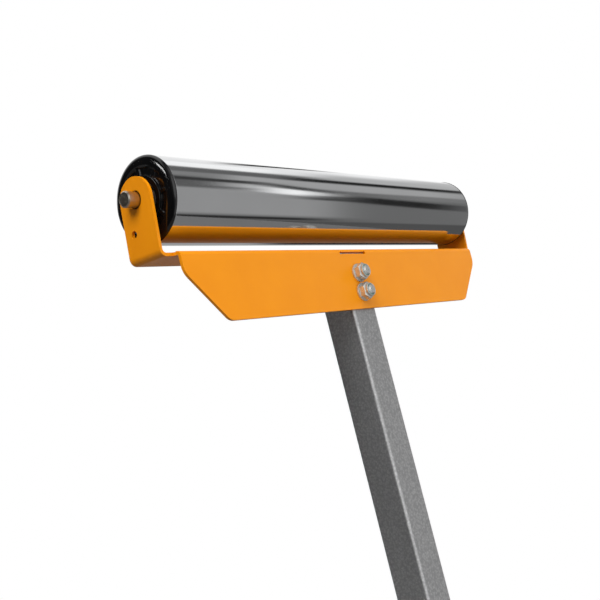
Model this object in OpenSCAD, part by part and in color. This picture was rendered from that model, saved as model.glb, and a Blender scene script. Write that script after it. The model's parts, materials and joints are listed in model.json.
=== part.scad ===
// Folding roller stand: a chromed roller on a bent sheet head, carried by a leaning
// telescopic post with a hinged rear leg. Millimetres, +Z up, floor at Z zero.
// X runs along the roller, +Y is the side of the rear leg.

/* [Stance] */
// Height of the top of the roller above the floor
roller_top_h = 950; // [700:5:1060]
// Lowest height of the top of the roller
lowest_h = 680; // [675:5:700]
// Highest height of the top of the roller
highest_h = 1065; // [1062:1:1070]
// Lean of the telescopic post from the vertical, in degrees
post_lean = 18.3; // [16:0.1:20]
// Lean of the rear leg from the vertical, in degrees
rear_lean = 26.7; // [24:0.1:29]
// Angle left between leg and post when folded, in degrees
folded_angle = 4; // [3.8:0.1:6]

/* [Roller] */
// Outer diameter of the roller tube
roller_d = 65; // [62:0.5:68]
// Length of the roller tube, and of the panel under it
roller_len = 394; // [300:1:600]
// Wall of the roller tube
roller_wall = 1.8; // [1.5:0.1:3]
// Diameter of the fixed axle
axle_d = 12; // [11:0.5:12.5]
// Length of axle that stands out past each ear
axle_out = 10; // [6:0.5:16]
// Chamfer at the ends of the axle
axle_chamfer = 1; // [0.5:0.1:2]

/* [End caps] */
// Width of the rounded rim, from the ring out to the cap's edge
cap_rim_w = 6.5; // [4:0.1:8]
// How far the rim stands out past the tube's end
cap_rim_h = 3.5; // [3:0.1:4]
// Overhang of the rim past the roller tube
cap_over = 0.2; // [0.1:0.1:0.6]
// Length of the plug inside the tube
cap_plug_len = 16; // [14:0.5:24]
// Wall of the plug
cap_plug_wall = 2.4; // [1.5:0.1:3]
// Width of the ring between rim and dished face
cap_ring_w = 1; // [0.5:0.1:2]
// Depth of the dished face
cap_dish = 2; // [1:0.1:2.5]
// Thickness of the face web behind the dish
cap_web = 3; // [2:0.1:4]
// Number of ribs
cap_ribs = 8; // [6:1:12]
// Thickness of a rib
cap_rib_t = 2.2; // [1.5:0.1:3]
// Wall of the hub round the bearing
hub_wall = 2; // [1.5:0.1:3]

/* [Bearings] */
// Outer diameter of the ball bearing
bearing_od = 32; // [30:0.5:34]
// Width of the ball bearing
bearing_w = 10; // [8:0.5:11]
// Diameter of a ball
ball_d = 5.95; // [5:0.05:6.2]
// Number of balls
ball_count = 7; // [6:1:7]
// Height of the ring lands from the pitch circle
land_gap = 2.1; // [1.8:0.1:2.4]

/* [Head bracket] */
// Thickness of the bracket sheet
sheet_t = 2.5; // [2:0.1:3]
// Width of an ear, with a full round top
ear_w = 33.5; // [31:0.5:36]
// Gap between the roller tube's end and the inside of an ear
ear_gap = 8.5; // [7.5:0.1:12]
// Axle centre down to the underside of the web
web_drop = 45; // [43:0.5:48]
// Lean of ears and web against the post, in degrees
bend_lean = 4; // [3:0.5:5]
// Axle centre down to the lower edge of the panel
panel_drop = 97.2; // [95:0.1:100]
// Axle plane forward to the outer face of the panel
panel_front = 21.4; // [21:0.1:22]
// Height below the axle where the slanted panel end begins
panel_side_drop = 60; // [56:0.5:66]
// Length of the slanted panel end along the roller
panel_slant = 34; // [25:0.5:45]
// Corner radius at the upper end of the slant
panel_side_r = 14; // [8:0.5:18]
// Corner radius at the lower end of the slant
panel_foot_r = 9; // [5:0.5:12]
// Inner radius of the panel bend
panel_bend_r = 1.5; // [1:0.1:2]
// Inner radius of the ear bends
ear_bend_r = 3; // [2:0.1:4]
// Diameter of the axle hole in an ear
ear_hole_d = 13.5; // [13.2:0.1:14]
// Diameter of the small hole in an ear
small_hole_d = 5.6; // [4:0.1:7]
// Small hole back from the ear's centre line
small_hole_back = 6.9; // [5:0.1:8]
// Small hole below the axle
small_hole_drop = 23.7; // [20:0.1:27]
// Width of the slot at the panel bend
bend_slot_w = 33; // [26:0.5:40]
// Height of the slot at the panel bend
bend_slot_h = 1.8; // [1:0.1:3]
// Diameter of the relief holes at bend ends and slot ends
relief_d = 3; // [2.4:0.1:4]

/* [Posts] */
// Width of the square inner post
inner_w = 31.75; // [31:0.05:32]
// Width of the square outer post and of the crossbars
outer_w = 38.1; // [37.8:0.1:39]
// Wall of the square tubes
tube_wall = 1.6; // [1.5:0.05:1.7]
// Outer corner radius of the square tubes
tube_r = 3; // [2:0.1:4]
// Length of the inner post
inner_len = 583; // [560:1:585]
// Top of the outer post, measured along the post from the floor
outer_top = 548; // [540:1:552]
// Lower end of the outer post, measured along the post from the floor
outer_foot = 12; // [11:0.1:13]
// Height of the collar flange over the outer post
collar_flange = 6; // [4:0.5:8]
// Length of the collar inside the outer post
collar_sleeve = 26; // [15:1:30]
// Length of the collar skirt outside the outer post
collar_skirt = 16; // [8:1:22]
// Wall of the collar skirt
collar_wall = 3; // [2:0.1:4]
// Length of the glide on the foot of the inner post
glide_len = 24; // [15:1:26]
// Thickness of the floor of the glide
glide_floor = 3; // [2:0.1:4]

/* [Height clamp] */
// Clamp screw below the top of the outer post
clamp_drop = 50; // [45:1:60]
// Diameter of the clamp screw
screw_d = 10; // [8:0.5:12]
// Pitch of the clamp screw thread
screw_pitch = 1.5; // [1.25:0.25:2]
// Width across the flats of the welded nut
clamp_nut_w = 17; // [16:0.5:20]
// Thickness of the welded nut
clamp_nut_h = 12; // [10:0.5:16]
// Free screw length between welded nut and knob
screw_free = 7; // [5:0.5:14]
// Diameter of the swivel pad on the screw tip
pad_d = 10.4; // [9.5:0.1:11]
// Length of the swivel pad
pad_len = 6; // [5:0.1:7]
// Diameter of the knob over its lobes
knob_d = 50; // [40:1:60]
// Thickness of the knob's lobed head
knob_h = 18; // [14:0.5:24]
// Number of lobes
knob_lobes = 5; // [5:1:7]
// Diameter of the knob's hub
knob_hub_d = 22; // [18:0.5:26]
// Length of the hub behind the head
knob_hub_h = 8; // [5:0.5:12]

/* [Rear leg] */
// Width of the square rear leg
leg_w = 31.75; // [30:0.05:32.2]
// Hinge along the post, measured from the floor
hinge_s = 470; // [464:1:476]
// Hinge back from the outer post's back face
hinge_back = 28; // [28:0.1:30]
// Leg end beyond the hinge
leg_over = 16; // [14:0.1:16.5]
// Thickness of the bracket and guide sheet
cheek_t = 2.5; // [2:0.1:2.6]
// Inner radius of the bends of bracket, guide and saddle
cheek_bend_r = 1.5; // [1:0.1:2.5]
// Side play between leg and bracket cheek
leg_play = 0.7; // [0.4:0.1:0.9]
// Bracket length above and below the hinge
bracket_reach = 27; // [22:0.5:34]
// Edge distance round the hinge and slide pins
cheek_edge = 10; // [8:0.5:12]
// Diameter of the hinge and slide bolts
pin_d = 8; // [6:0.5:9]
// Outer diameter of the hinge bush
bush_d = 12; // [11:0.5:14]

/* [Stay] */
// Pin distance on the leg, and length of the stay between its pins
stay_len = 190; // [180:1:198]
// Width of a stay bar
stay_w = 20; // [18:0.5:26]
// Thickness of a stay bar
stay_t = 3; // [2:0.1:4]
// Gap between guide cheek and stay bar
stay_gap = 0.4; // [0.3:0.05:0.8]

/* [Feet] */
// Height of the crossbar centres above the floor
bar_h = 36; // [35:0.5:40]
// Length of the crossbars without their caps
bar_len = 394; // [300:1:600]
// Wall of a foot cap
cap_wall = 3; // [2.5:0.1:4]
// Length of a foot cap
foot_len = 46; // [35:1:60]
// Width of the sole of a foot cap
sole_w = 52; // [44:0.5:53]
// Corner radius of a foot cap
foot_r = 4; // [3:0.1:6]
// Height of the bevel round the sole
sole_bevel_h = 3; // [2:0.1:4]
// Width of the bevel round the sole
sole_bevel_w = 1.5; // [1:0.1:2]
// Width of a tread groove
tread_w = 3; // [2:0.1:4]
// Depth of a tread groove
tread_h = 1.5; // [1:0.1:2]
// Pitch of the tread grooves
tread_pitch = 11; // [9:0.5:12]
// Width of the saddle that limits the tilt
saddle_w = 60; // [50:1:80]
// Gap between saddle flange and crossbar
saddle_gap = 3.5; // [3.4:0.1:4.5]
// Depth of the saddle flanges
saddle_depth = 26; // [18:0.5:34]
// Thickness of the washer behind the crossbar
foot_washer_t = 2; // [1.5:0.1:3]
// Diameter of the foot bolt
foot_bolt_d = 10; // [8:0.5:11]

/* [Fasteners] */
// Diameter of the head bolts
head_bolt_d = 8; // [6:0.5:8.5]
// Upper head bolt below the axle
head_bolt_drop = 66; // [64:0.5:68]
// Spacing of the two head bolts
head_bolt_pitch = 17; // [16.5:0.5:19]
// Bolt length that shows past a nut
bolt_show = 1.5; // [0.5:0.1:3]
// Thickness of the head washers
washer_t = 1.6; // [1:0.1:2]

/* [Fits] */
// Clearance all round between pieces that are fixed together
fixed_fit = 0.05; // [0.02:0.01:0.08]
// Radial clearance of a pin that turns in its hole
turn_fit = 0.05; // [0.03:0.01:0.08]
// Clearance between faces that slide past each other
slide_fit = 0.25; // [0.15:0.05:0.3]

/* [Hidden] */
$fn = 64;
// Overrun of every cut past the face it leaves
over = 1;
// Steps in a rounded corner of an outline
corner_steps = 8;
// Steps across the rounded rim of an end cap
rim_steps = 12;

// Shares of bolt diameter for hexagon heads, nuts and washers
hex_flats_share = 1.625;
hex_head_share = 0.66;
nut_body_share = 0.72;
nut_collar_share = 0.28;
nut_collar_d_share = 1.4;
hex_chamfer_share = 0.1;
washer_od_share = 2;

// Stance
lean_s = sin(post_lean);
lean_c = cos(post_lean);
open_angle = post_lean + rear_lean;
roller_r = roller_d / 2;
roller_back = panel_front - sheet_t - inner_w / 2;
head_s = (roller_top_h - roller_r + roller_back * lean_s) / lean_c;
travel_down = (roller_top_h - lowest_h) / lean_c;
travel_up = (highest_h - roller_top_h) / lean_c;

// Roller and caps
end_x = roller_len / 2;
bore_r = roller_r - roller_wall;
cap_r = roller_r + cap_over;
plug_r = bore_r - fixed_fit;
hub_r = bearing_od / 2 + fixed_fit + hub_wall;
dish_r = cap_r - cap_rim_w - cap_ring_w;
lip_share = 0.84;
lip_r = lip_share * bearing_od / 2;
lip_t = 1;
bearing_x = end_x - lip_t - bearing_w / 2;
pitch_share = 0.5;
pitch_r = axle_d / 2 + pitch_share * (bearing_od - axle_d) / 2;
groove_r = ball_d / 2 + turn_fit;
cage_t_share = 0.45;
cage_t = cage_t_share * ball_d;
cage_w_share = 0.72;
cage_w = cage_w_share * bearing_w;

// Head bracket, in the frame that leans with ears and web
ear_x = end_x + ear_gap;
ear_out_x = ear_x + sheet_t;
axle_end_x = ear_out_x + axle_out;
web_low = -web_drop;
web_top = web_low + sheet_t;
panel_bend_out = panel_bend_r + sheet_t;
ear_bend_out = ear_bend_r + sheet_t;
// The panel bend's centre in the head frame
bend_y = panel_bend_out - panel_front;
bend_z = (web_low - panel_bend_r + bend_y * sin(bend_lean)) / cos(bend_lean);
post_top_gap = 1;
inner_top = web_low * cos(bend_lean) - ear_w / 2 * sin(bend_lean) - post_top_gap;
clip_t = 1;
clip_side_gap = 0.3;
clip_groove_depth = 1;
clip_r_share = 0.78;
clip_pocket_share = 0.62;
clip_mouth_share = 0.62;
// Angles between which a clip stands clear of its groove, up from the mouth's side
clip_pocket_from = -20;
clip_pocket_to = 55;

// Posts, measured along the post from the floor
outer_in = outer_w - 2 * tube_wall;
collar_w = outer_w + 2 * fixed_fit + 2 * collar_wall;
clamp_s = outer_top - clamp_drop;
plug_t = 2.5;
plug_in = 4;

// Hinge, guide and stay, in the post frame
hinge_y = outer_w / 2 + hinge_back;
cheek_in = leg_w / 2 + leg_play;
cheek_out = cheek_in + cheek_t;
stay_in = cheek_out + stay_gap;
stay_out = stay_in + stay_t;
slide_open = 2 * stay_len * cos(open_angle);
slide_folded = 2 * stay_len * cos(folded_angle);
slot_r = pin_d / 2 + slide_fit;

// Crossbars
bar_y = outer_w / 2 + cheek_t + foot_washer_t + outer_w / 2;
bar_s = (bar_h - bar_y * lean_s) / lean_c;
hinge_z = hinge_s * lean_c - hinge_y * lean_s;
leg_reach = (hinge_z - bar_h) / cos(rear_lean);
cap_w = outer_w + 2 * fixed_fit + 2 * cap_wall;
function cap_reach(angle) = foot_r + (cap_w / 2 - foot_r) * (cos(angle) + sin(angle));
front_bar_y = bar_s * lean_s - bar_y * lean_c;
rear_bar_y = hinge_y * lean_c + hinge_s * lean_s + leg_reach * sin(rear_lean);
// The foot bolt's head stands in front of the crossbar
foot_head_y = bar_y + outer_w / 2 + slide_fit + hex_head_share * foot_bolt_d;
front_bolt_y = bar_s * lean_s - foot_head_y * lean_c - hex_face_r(foot_bolt_d) * lean_s;
front_edge = min(front_bar_y - cap_reach(post_lean), front_bolt_y);
rear_edge = rear_bar_y + cap_reach(rear_lean);
// The floor point of the post, set so that the whole stand is centred on Y zero
post_y = -(front_edge + rear_edge) / 2;

// Places: each puts its children in the frame of one assembly

// Post frame: Z runs up the post from the floor, Y is square to its back face
module on_post() {
    translate([0, post_y, 0]) rotate([-post_lean, 0, 0]) children();
}

// Head frame: the post frame moved to the middle of the roller
module on_head() {
    on_post() translate([0, roller_back, head_s]) children();
}

// Bracket frame: leans with the ears about the roller's axis
module on_bracket() {
    on_head() rotate([bend_lean, 0, 0]) children();
}

// Leg frame: origin on the hinge, the leg runs down -Z
module on_leg() {
    on_post() translate([0, hinge_y, hinge_s]) rotate([open_angle, 0, 0]) children();
}

// Stay frame: origin on the leg pin, the stay runs down -Z to its slide pin
module on_stay() {
    on_leg() translate([0, 0, -stay_len]) rotate([-2 * open_angle, 0, 0]) children();
}

module on_front_bar() {
    on_post() translate([0, -bar_y, bar_s]) children();
}

module on_rear_bar() {
    on_leg() translate([0, 0, -leg_reach]) children();
}

// Clamp frame: Z points out of the post's front face, origin on the post's axis
module on_clamp() {
    on_post() translate([0, 0, clamp_s]) rotate([90, 0, 0]) children();
}

// Places children at the left end and mirrored at the right end
module at_side(side) {
    if (side > 0) children();
    else mirror([1, 0, 0]) children();
}

// Outlines

function unit(v) = v / norm(v);

// Points of one rounded corner at p, between its neighbours a and b
function corner(a, p, b, r) =
    let (
        u = unit(a - p),
        v = unit(b - p),
        half = acos(u * v) / 2,
        c = p + unit(u + v) * r / sin(half),
        s = p + u * r / tan(half) - c,
        e = p + v * r / tan(half) - c,
        a0 = atan2(s.y, s.x),
        turn = (atan2(e.y, e.x) - a0 + 900) % 360 - 180,
        step = turn / corner_steps
    )
    r > 0
        ? [for (i = [0 : corner_steps]) c + r * [cos(a0 + i * step), sin(a0 + i * step)]]
        : [p];

// Outline with a radius at each corner
function rounded(pts, radii) =
    let (n = len(pts))
    [for (i = [0 : n - 1]) each corner(pts[(i + n - 1) % n], pts[i], pts[(i + 1) % n], radii[i])];

function round_square(w, r) = rounded([[-w, -w] / 2, [w, -w] / 2, [w, w] / 2, [-w, w] / 2], [r, r, r, r]);

// Building blocks

// Square tube along +Z from the origin
module square_tube(w, length) {
    linear_extrude(length) difference() {
        polygon(round_square(w, tube_r));
        polygon(round_square(w - 2 * tube_wall, tube_r - tube_wall));
    }
}

// Extrudes a (Y, Z) outline along +X from the origin
module along_x(length) {
    rotate([90, 0, 90]) linear_extrude(length) children();
}

// Cylinder along X, centred
module x_bar(r, length) {
    rotate([0, 90, 0]) cylinder(r = r, h = length, center = true);
}

// Cylinder along Y, centred
module y_bar(r, length) {
    rotate([90, 0, 0]) cylinder(r = r, h = length, center = true);
}

// Revolves an (r, x) outline round the X axis
module turned_x() {
    rotate([0, 90, 0]) rotate_extrude() children();
}

// Ring along +Z
module ring(r_out, r_in, h) {
    difference() {
        cylinder(r = r_out, h = h);
        translate([0, 0, -over]) cylinder(r = r_in, h = h + 2 * over);
    }
}

// Hexagon of a bolt of diameter d along +Z, chamfered at its free end
module hexagon(d, h) {
    corner_r = hex_corner_r(d);
    chamfer = hex_chamfer_share * d;
    intersection() {
        cylinder(r = corner_r, h = h, $fn = 6);
        rotate_extrude() polygon([
            [0, 0], [corner_r, 0], [corner_r, h - chamfer], [hex_face_r(d), h], [0, h]
        ]);
    }
}

function hex_corner_r(d) = hex_flats_share * d / sqrt(3);
function hex_face_r(d) = hex_corner_r(d) - 2 * hex_chamfer_share * d;

// Hexagon bolt: shank down -Z, underside of the head at the origin
module hex_bolt(d, length) {
    hexagon(d, hex_head_share * d);
    translate([0, 0, -length]) cylinder(d = d, h = length + over);
}

// Lock nut along +Z with its round collar at the free end
module lock_nut(d) {
    body_h = nut_body_share * d;
    collar_r = nut_collar_d_share * d / 2;
    difference() {
        union() {
            hexagon(d, body_h);
            cylinder(r = collar_r, h = lock_nut_h(d));
        }
        translate([0, 0, -over]) cylinder(r = d / 2 + fixed_fit, h = lock_nut_h(d) + 2 * over);
        translate([0, 0, body_h]) cylinder(r = insert_r(d) + fixed_fit, h = lock_nut_h(d));
    }
}

function lock_nut_h(d) = (nut_body_share + nut_collar_share) * d;
insert_share = 0.86;
function insert_r(d) = insert_share * nut_collar_d_share * d / 2;

// Nylon ring in a lock nut's collar
module nut_insert(d) {
    translate([0, 0, nut_body_share * d + fixed_fit])
        ring(insert_r(d), d / 2 + fixed_fit, nut_collar_share * d - fixed_fit);
}

// Cross bolt along X: its head on the left, its shank to the right
module cross_bolt(d, half, tail) {
    translate([-half, 0, 0]) rotate([0, -90, 0]) hex_bolt(d, 2 * half + tail);
}

module cross_nut(d, half) {
    translate([half, 0, 0]) rotate([0, 90, 0]) {
        lock_nut(d);
        nut_insert(d);
    }
}

// Roller

module roller_tube() {
    color("gainsboro") on_head() turned_x() polygon([
        [bore_r, -end_x], [roller_r, -end_x], [roller_r, end_x], [bore_r, end_x]
    ]);
}

// End cap, outline as (radius, distance out from the tube's end)
module cap_outline() {
    rim_c = cap_r - cap_rim_w;
    web_in = cap_rim_h - cap_dish - cap_web;
    pocket_r = bearing_od / 2 + fixed_fit;
    polygon(concat(
        [[lip_r, -lip_t + fixed_fit], [lip_r, cap_rim_h], [hub_r, cap_rim_h],
         [hub_r, cap_rim_h - cap_dish], [dish_r - cap_dish, cap_rim_h - cap_dish], [dish_r, cap_rim_h]],
        [for (i = [0 : rim_steps])
            [rim_c + cap_rim_w * sin(90 * i / rim_steps), cap_rim_h * cos(90 * i / rim_steps)]],
        [[plug_r, 0], [plug_r, -cap_plug_len], [plug_r - cap_plug_wall, -cap_plug_len],
         [plug_r - cap_plug_wall, web_in], [hub_r, web_in], [hub_r, -lip_t - bearing_w],
         [pocket_r, -lip_t - bearing_w], [pocket_r, -lip_t + fixed_fit]]
    ));
}

module end_cap(side) {
    rib_low = -lip_t - bearing_w;
    color([0.06, 0.06, 0.065]) on_head() at_side(side) translate([end_x, 0, 0]) {
        turned_x() cap_outline();
        for (i = [0 : cap_ribs - 1]) rotate([360 * i / cap_ribs, 0, 0]) {
            translate([cap_rim_h - cap_dish - cap_web / 2, -cap_rib_t / 2, hub_r - hub_wall / 2])
                cube([cap_web / 2 + cap_dish / 2, cap_rib_t, dish_r - cap_dish / 2 - hub_r + hub_wall / 2]);
            translate([rib_low, -cap_rib_t / 2, hub_r - hub_wall / 2])
                cube([-rib_low, cap_rib_t, plug_r - cap_plug_wall / 2 - hub_r + hub_wall / 2]);
        }
    }
}

// Ball bearing parts, centred on the bearing's own middle

module bearing_ring(r_in, r_out) {
    difference() {
        turned_x() translate([r_in, -bearing_w / 2]) square([r_out - r_in, bearing_w]);
        turned_x() translate([pitch_r, 0]) circle(r = groove_r);
    }
}

module in_bearing(side) {
    on_head() at_side(side) translate([bearing_x, 0, 0]) children();
}

module bearing_outer(side) {
    color("silver") in_bearing(side) bearing_ring(pitch_r + land_gap, bearing_od / 2);
}

module bearing_inner(side) {
    color("silver") in_bearing(side) bearing_ring(axle_d / 2 + fixed_fit, pitch_r - land_gap);
}

module ball_places() {
    for (i = [0 : ball_count - 1]) rotate([360 * i / ball_count, 0, 0]) translate([0, 0, pitch_r]) children();
}

module bearing_balls(side) {
    color("lightgray") in_bearing(side) ball_places() sphere(r = ball_d / 2, $fn = 48);
}

module bearing_cage(side) {
    color("goldenrod") in_bearing(side) difference() {
        turned_x() translate([pitch_r - cage_t / 2, -cage_w / 2]) square([cage_t, cage_w]);
        ball_places() sphere(r = ball_d / 2 + slide_fit, $fn = 48);
    }
}

// Head

module axle() {
    groove_x = ear_x - clip_side_gap - clip_t;
    color("dimgray") on_head() difference() {
        turned_x() polygon([
            [0, -axle_end_x], [axle_d / 2 - axle_chamfer, -axle_end_x],
            [axle_d / 2, -axle_end_x + axle_chamfer], [axle_d / 2, axle_end_x - axle_chamfer],
            [axle_d / 2 - axle_chamfer, axle_end_x], [0, axle_end_x]
        ]);
        for (side = [-1, 1]) at_side(side) turned_x()
            translate([axle_d / 2 - clip_groove_depth, groove_x - fixed_fit])
                square([clip_groove_depth + over, clip_t + 2 * fixed_fit]);
    }
}

// E clips in the axle's grooves, just inside the ears
module axle_clips() {
    clip_in = axle_d / 2 - clip_groove_depth + fixed_fit;
    clip_out = clip_r_share * axle_d;
    mouth = clip_mouth_share * axle_d;
    pocket_r = clip_pocket_share * axle_d;
    far = 2 * pocket_r;
    color("dimgray") on_head() for (side = [-1, 1]) at_side(side)
        translate([ear_x - clip_side_gap - clip_t, 0, 0]) along_x(clip_t) difference() {
            circle(r = clip_out);
            circle(r = clip_in);
            translate([-mouth / 2, -clip_out - over]) square([mouth, clip_out + over]);
            for (hand = [0, 1]) mirror([hand, 0]) intersection() {
                circle(r = pocket_r);
                polygon([
                    [0, 0], far * [cos(clip_pocket_from), sin(clip_pocket_from)],
                    far * [1, 1], far * [cos(clip_pocket_to), sin(clip_pocket_to)]
                ]);
            }
        }
}

module axle_spacers() {
    from_x = end_x - lip_t + fixed_fit;
    to_x = ear_x - clip_side_gap - clip_t - fixed_fit;
    color("silver") on_head() for (side = [-1, 1]) at_side(side)
        translate([from_x, 0, 0]) rotate([0, 90, 0])
            ring(pitch_r - land_gap, axle_d / 2 + fixed_fit, to_x - from_x);
}

// Sheet outline of an ear in (Y, Z), from its bend up to the full round top
module ear_outline() {
    difference() {
        union() {
            circle(d = ear_w);
            translate([-ear_w / 2, web_low + ear_bend_out]) square([ear_w, -web_low - ear_bend_out]);
        }
        circle(d = ear_hole_d);
        translate([small_hole_back, -small_hole_drop]) circle(d = small_hole_d);
    }
}

// Ear, and the quarter bend that joins it to the web
module ear(side) {
    at_side(side) {
        translate([ear_x, 0, 0]) along_x(sheet_t) ear_outline();
        translate([ear_out_x - ear_bend_out, ear_w / 2, web_low + ear_bend_out]) rotate([90, 0, 0])
            linear_extrude(ear_w) intersection() {
                difference() {
                    circle(r = ear_bend_out);
                    circle(r = ear_bend_r);
                }
                translate([0, -ear_bend_out]) square(ear_bend_out);
            }
    }
}

// A (Y, Z) point of the head frame, given in the bracket frame
function to_bracket(y, z) =
    [y * cos(bend_lean) + z * sin(bend_lean), z * cos(bend_lean) - y * sin(bend_lean)];

// Where the line at depth y of the head frame meets height z of the bracket frame
function fold_point(y, z) = to_bracket(y, (z + y * sin(bend_lean)) / cos(bend_lean));

// Folded section of the sheet: web, bend and panel
module folded_section() {
    low = -panel_drop - over;
    polygon(rounded(
        [[0, web_top], fold_point(-panel_front, web_top), to_bracket(-panel_front, low),
         to_bracket(sheet_t - panel_front, low), fold_point(sheet_t - panel_front, web_low), [0, web_low]],
        [0, panel_bend_out, 0, 0, panel_bend_r, 0]
    ));
}

// Front view of the panel: straight sides, slanted ends and rounded corners
module panel_outline() {
    polygon(rounded(
        [[-end_x, 0], [-end_x, -panel_side_drop], [-end_x + panel_slant, -panel_drop],
         [end_x - panel_slant, -panel_drop], [end_x, -panel_side_drop], [end_x, 0]],
        [0, panel_side_r, panel_foot_r, panel_foot_r, panel_side_r, 0]
    ));
}

// Web and panel, with the relief holes, the slot under the bend and the bolt holes
module web_and_panel() {
    span = 2 * (ear_out_x - ear_bend_out);
    relief_y = (to_bracket(bend_y, bend_z).x - ear_w / 2) / 2;
    difference() {
        union() {
            translate([-span / 2, -ear_w / 2, web_low]) cube([span, ear_w, sheet_t]);
            intersection() {
                translate([-end_x, 0, 0]) along_x(roller_len) folded_section();
                from_head() translate([0, panel_front, 0]) rotate([90, 0, 0])
                    linear_extrude(2 * panel_front + over) panel_outline();
            }
        }
        for (side = [-1, 1]) translate([side * end_x, relief_y, web_low - over])
            cylinder(d = relief_d, h = sheet_t + 2 * over);
        from_head() {
            for (i = [0, 1]) translate([0, -panel_front, -head_bolt_drop - i * head_bolt_pitch])
                y_bar(head_bolt_d / 2 + fixed_fit, 2 * (sheet_t + over));
            translate([-bend_slot_w / 2, -panel_front - over, bend_z - bend_slot_h / 2])
                cube([bend_slot_w, sheet_t + 2 * over, bend_slot_h]);
            for (side = [-1, 1]) translate([side * bend_slot_w / 2, -panel_front, bend_z])
                y_bar(relief_d / 2, 2 * (sheet_t + over));
        }
    }
}

// Puts children drawn in the head frame into the bracket frame
module from_head() {
    rotate([-bend_lean, 0, 0]) children();
}

module head_bracket() {
    color([0.95, 0.58, 0.12]) on_bracket() {
        ear(1);
        ear(-1);
        web_and_panel();
    }
}

// Inner post, with bolt holes through its front and back walls
module inner_post() {
    color([0.52, 0.53, 0.54]) on_head() translate([0, -roller_back, 0]) difference() {
        translate([0, 0, inner_top - inner_len]) square_tube(inner_w, inner_len);
        for (i = [0, 1]) translate([0, 0, -head_bolt_drop - i * head_bolt_pitch])
            y_bar(head_bolt_d / 2 + fixed_fit, inner_w + 2 * over);
    }
}

// Plastic cup on the foot of the inner post that runs inside the outer post
module inner_post_glide() {
    glide_w = outer_in - 2 * slide_fit;
    cup_w = inner_w + 2 * fixed_fit;
    foot_z = inner_top - inner_len - glide_floor - fixed_fit;
    color([0.1, 0.1, 0.1]) on_head() translate([0, -roller_back, foot_z]) difference() {
        linear_extrude(glide_len) polygon(round_square(glide_w, tube_r - tube_wall));
        translate([0, 0, glide_floor]) linear_extrude(glide_len) polygon(round_square(cup_w, tube_r));
    }
}

module head_fasteners() {
    for (i = [0, 1]) on_head() translate([0, 0, -head_bolt_drop - i * head_bolt_pitch]) children();
}

module head_bolts() {
    grip = inner_w + sheet_t + washer_t + lock_nut_h(head_bolt_d) + bolt_show;
    color("silver") head_fasteners() translate([0, inner_w / 2 - roller_back, 0]) rotate([-90, 0, 0])
        hex_bolt(head_bolt_d, grip);
}

module head_washers() {
    color("silver") head_fasteners() translate([0, -panel_front, 0]) rotate([90, 0, 0])
        ring(washer_od_share * head_bolt_d / 2, head_bolt_d / 2 + fixed_fit, washer_t);
}

module head_nuts() {
    color("silver") head_fasteners() translate([0, -panel_front - washer_t, 0]) rotate([90, 0, 0])
        lock_nut(head_bolt_d);
}

module nut_inserts() {
    color([0.45, 0.6, 0.58]) head_fasteners() translate([0, -panel_front - washer_t, 0]) rotate([90, 0, 0])
        nut_insert(head_bolt_d);
}

// Mast: the outer post and what is fixed to it

module outer_post() {
    color([0.5, 0.51, 0.52]) on_post() difference() {
        translate([0, 0, outer_foot]) square_tube(outer_w, outer_top - outer_foot);
        translate([0, -outer_w / 2, clamp_s]) y_bar(pad_d / 2 + slide_fit, 2 * tube_wall + over);
        translate([0, 0, bar_s]) y_bar(foot_bolt_d / 2 + fixed_fit, outer_w + 2 * over);
    }
}

// Guide collar: sleeve inside the outer post, flange on top and skirt outside
module post_collar() {
    color([0.08, 0.08, 0.08]) on_post() translate([0, 0, outer_top]) difference() {
        translate([0, 0, -collar_skirt]) linear_extrude(collar_skirt + collar_flange)
            polygon(round_square(collar_w, tube_r + collar_wall));
        difference() {
            translate([0, 0, -collar_skirt - over]) linear_extrude(collar_skirt + over)
                polygon(round_square(outer_w + 2 * fixed_fit, tube_r));
            translate([0, 0, -collar_skirt - 2 * over]) linear_extrude(collar_skirt + 3 * over)
                polygon(round_square(outer_in - 2 * fixed_fit, tube_r - tube_wall));
        }
        translate([0, 0, -collar_skirt - over]) linear_extrude(collar_skirt + collar_flange + 2 * over)
            polygon(round_square(inner_w + 2 * slide_fit, tube_r));
    }
    color([0.08, 0.08, 0.08]) on_post() translate([0, 0, outer_top - collar_sleeve])
        linear_extrude(collar_sleeve - collar_skirt) difference() {
            polygon(round_square(outer_in - 2 * fixed_fit, tube_r - tube_wall));
            polygon(round_square(inner_w + 2 * slide_fit, tube_r));
        }
}

module clamp_nut() {
    color([0.5, 0.51, 0.52]) on_clamp() translate([0, 0, outer_w / 2]) difference() {
        cylinder(r = clamp_nut_w / sqrt(3), h = clamp_nut_h, $fn = 6);
        translate([0, 0, -over]) cylinder(r = screw_d / 2 + turn_fit, h = clamp_nut_h + 2 * over);
        translate([0, 0, -over]) cylinder(r = pad_d / 2 + slide_fit, h = pad_room() + over);
    }
}

// Depth of the counterbore that lets the pad draw back into the welded nut
function pad_room() = pad_len - (outer_w - inner_w) / 2 + 2 * screw_pitch;

// Folded channel outline: cheeks along +Y from a web whose outer face lies on Y zero
function folded_channel(half, depth) = rounded(
    [[-half, depth], [-half, 0], [half, 0], [half, depth], [half - cheek_t, depth],
     [half - cheek_t, cheek_t], [cheek_t - half, cheek_t], [cheek_t - half, depth]],
    [0, cheek_bend_r + cheek_t, cheek_bend_r + cheek_t, 0, 0, cheek_bend_r, cheek_bend_r, 0]
);

// Channel folded from sheet on the post's back face, cut to a side outline (Y, Z)
module channel(z0, z1) {
    intersection() {
        translate([0, outer_w / 2, z0]) linear_extrude(z1 - z0)
            polygon(folded_channel(cheek_out, hinge_back + 2 * cheek_edge));
        translate([-cheek_out - over, 0, 0]) along_x(2 * (cheek_out + over)) children();
    }
}

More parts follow.
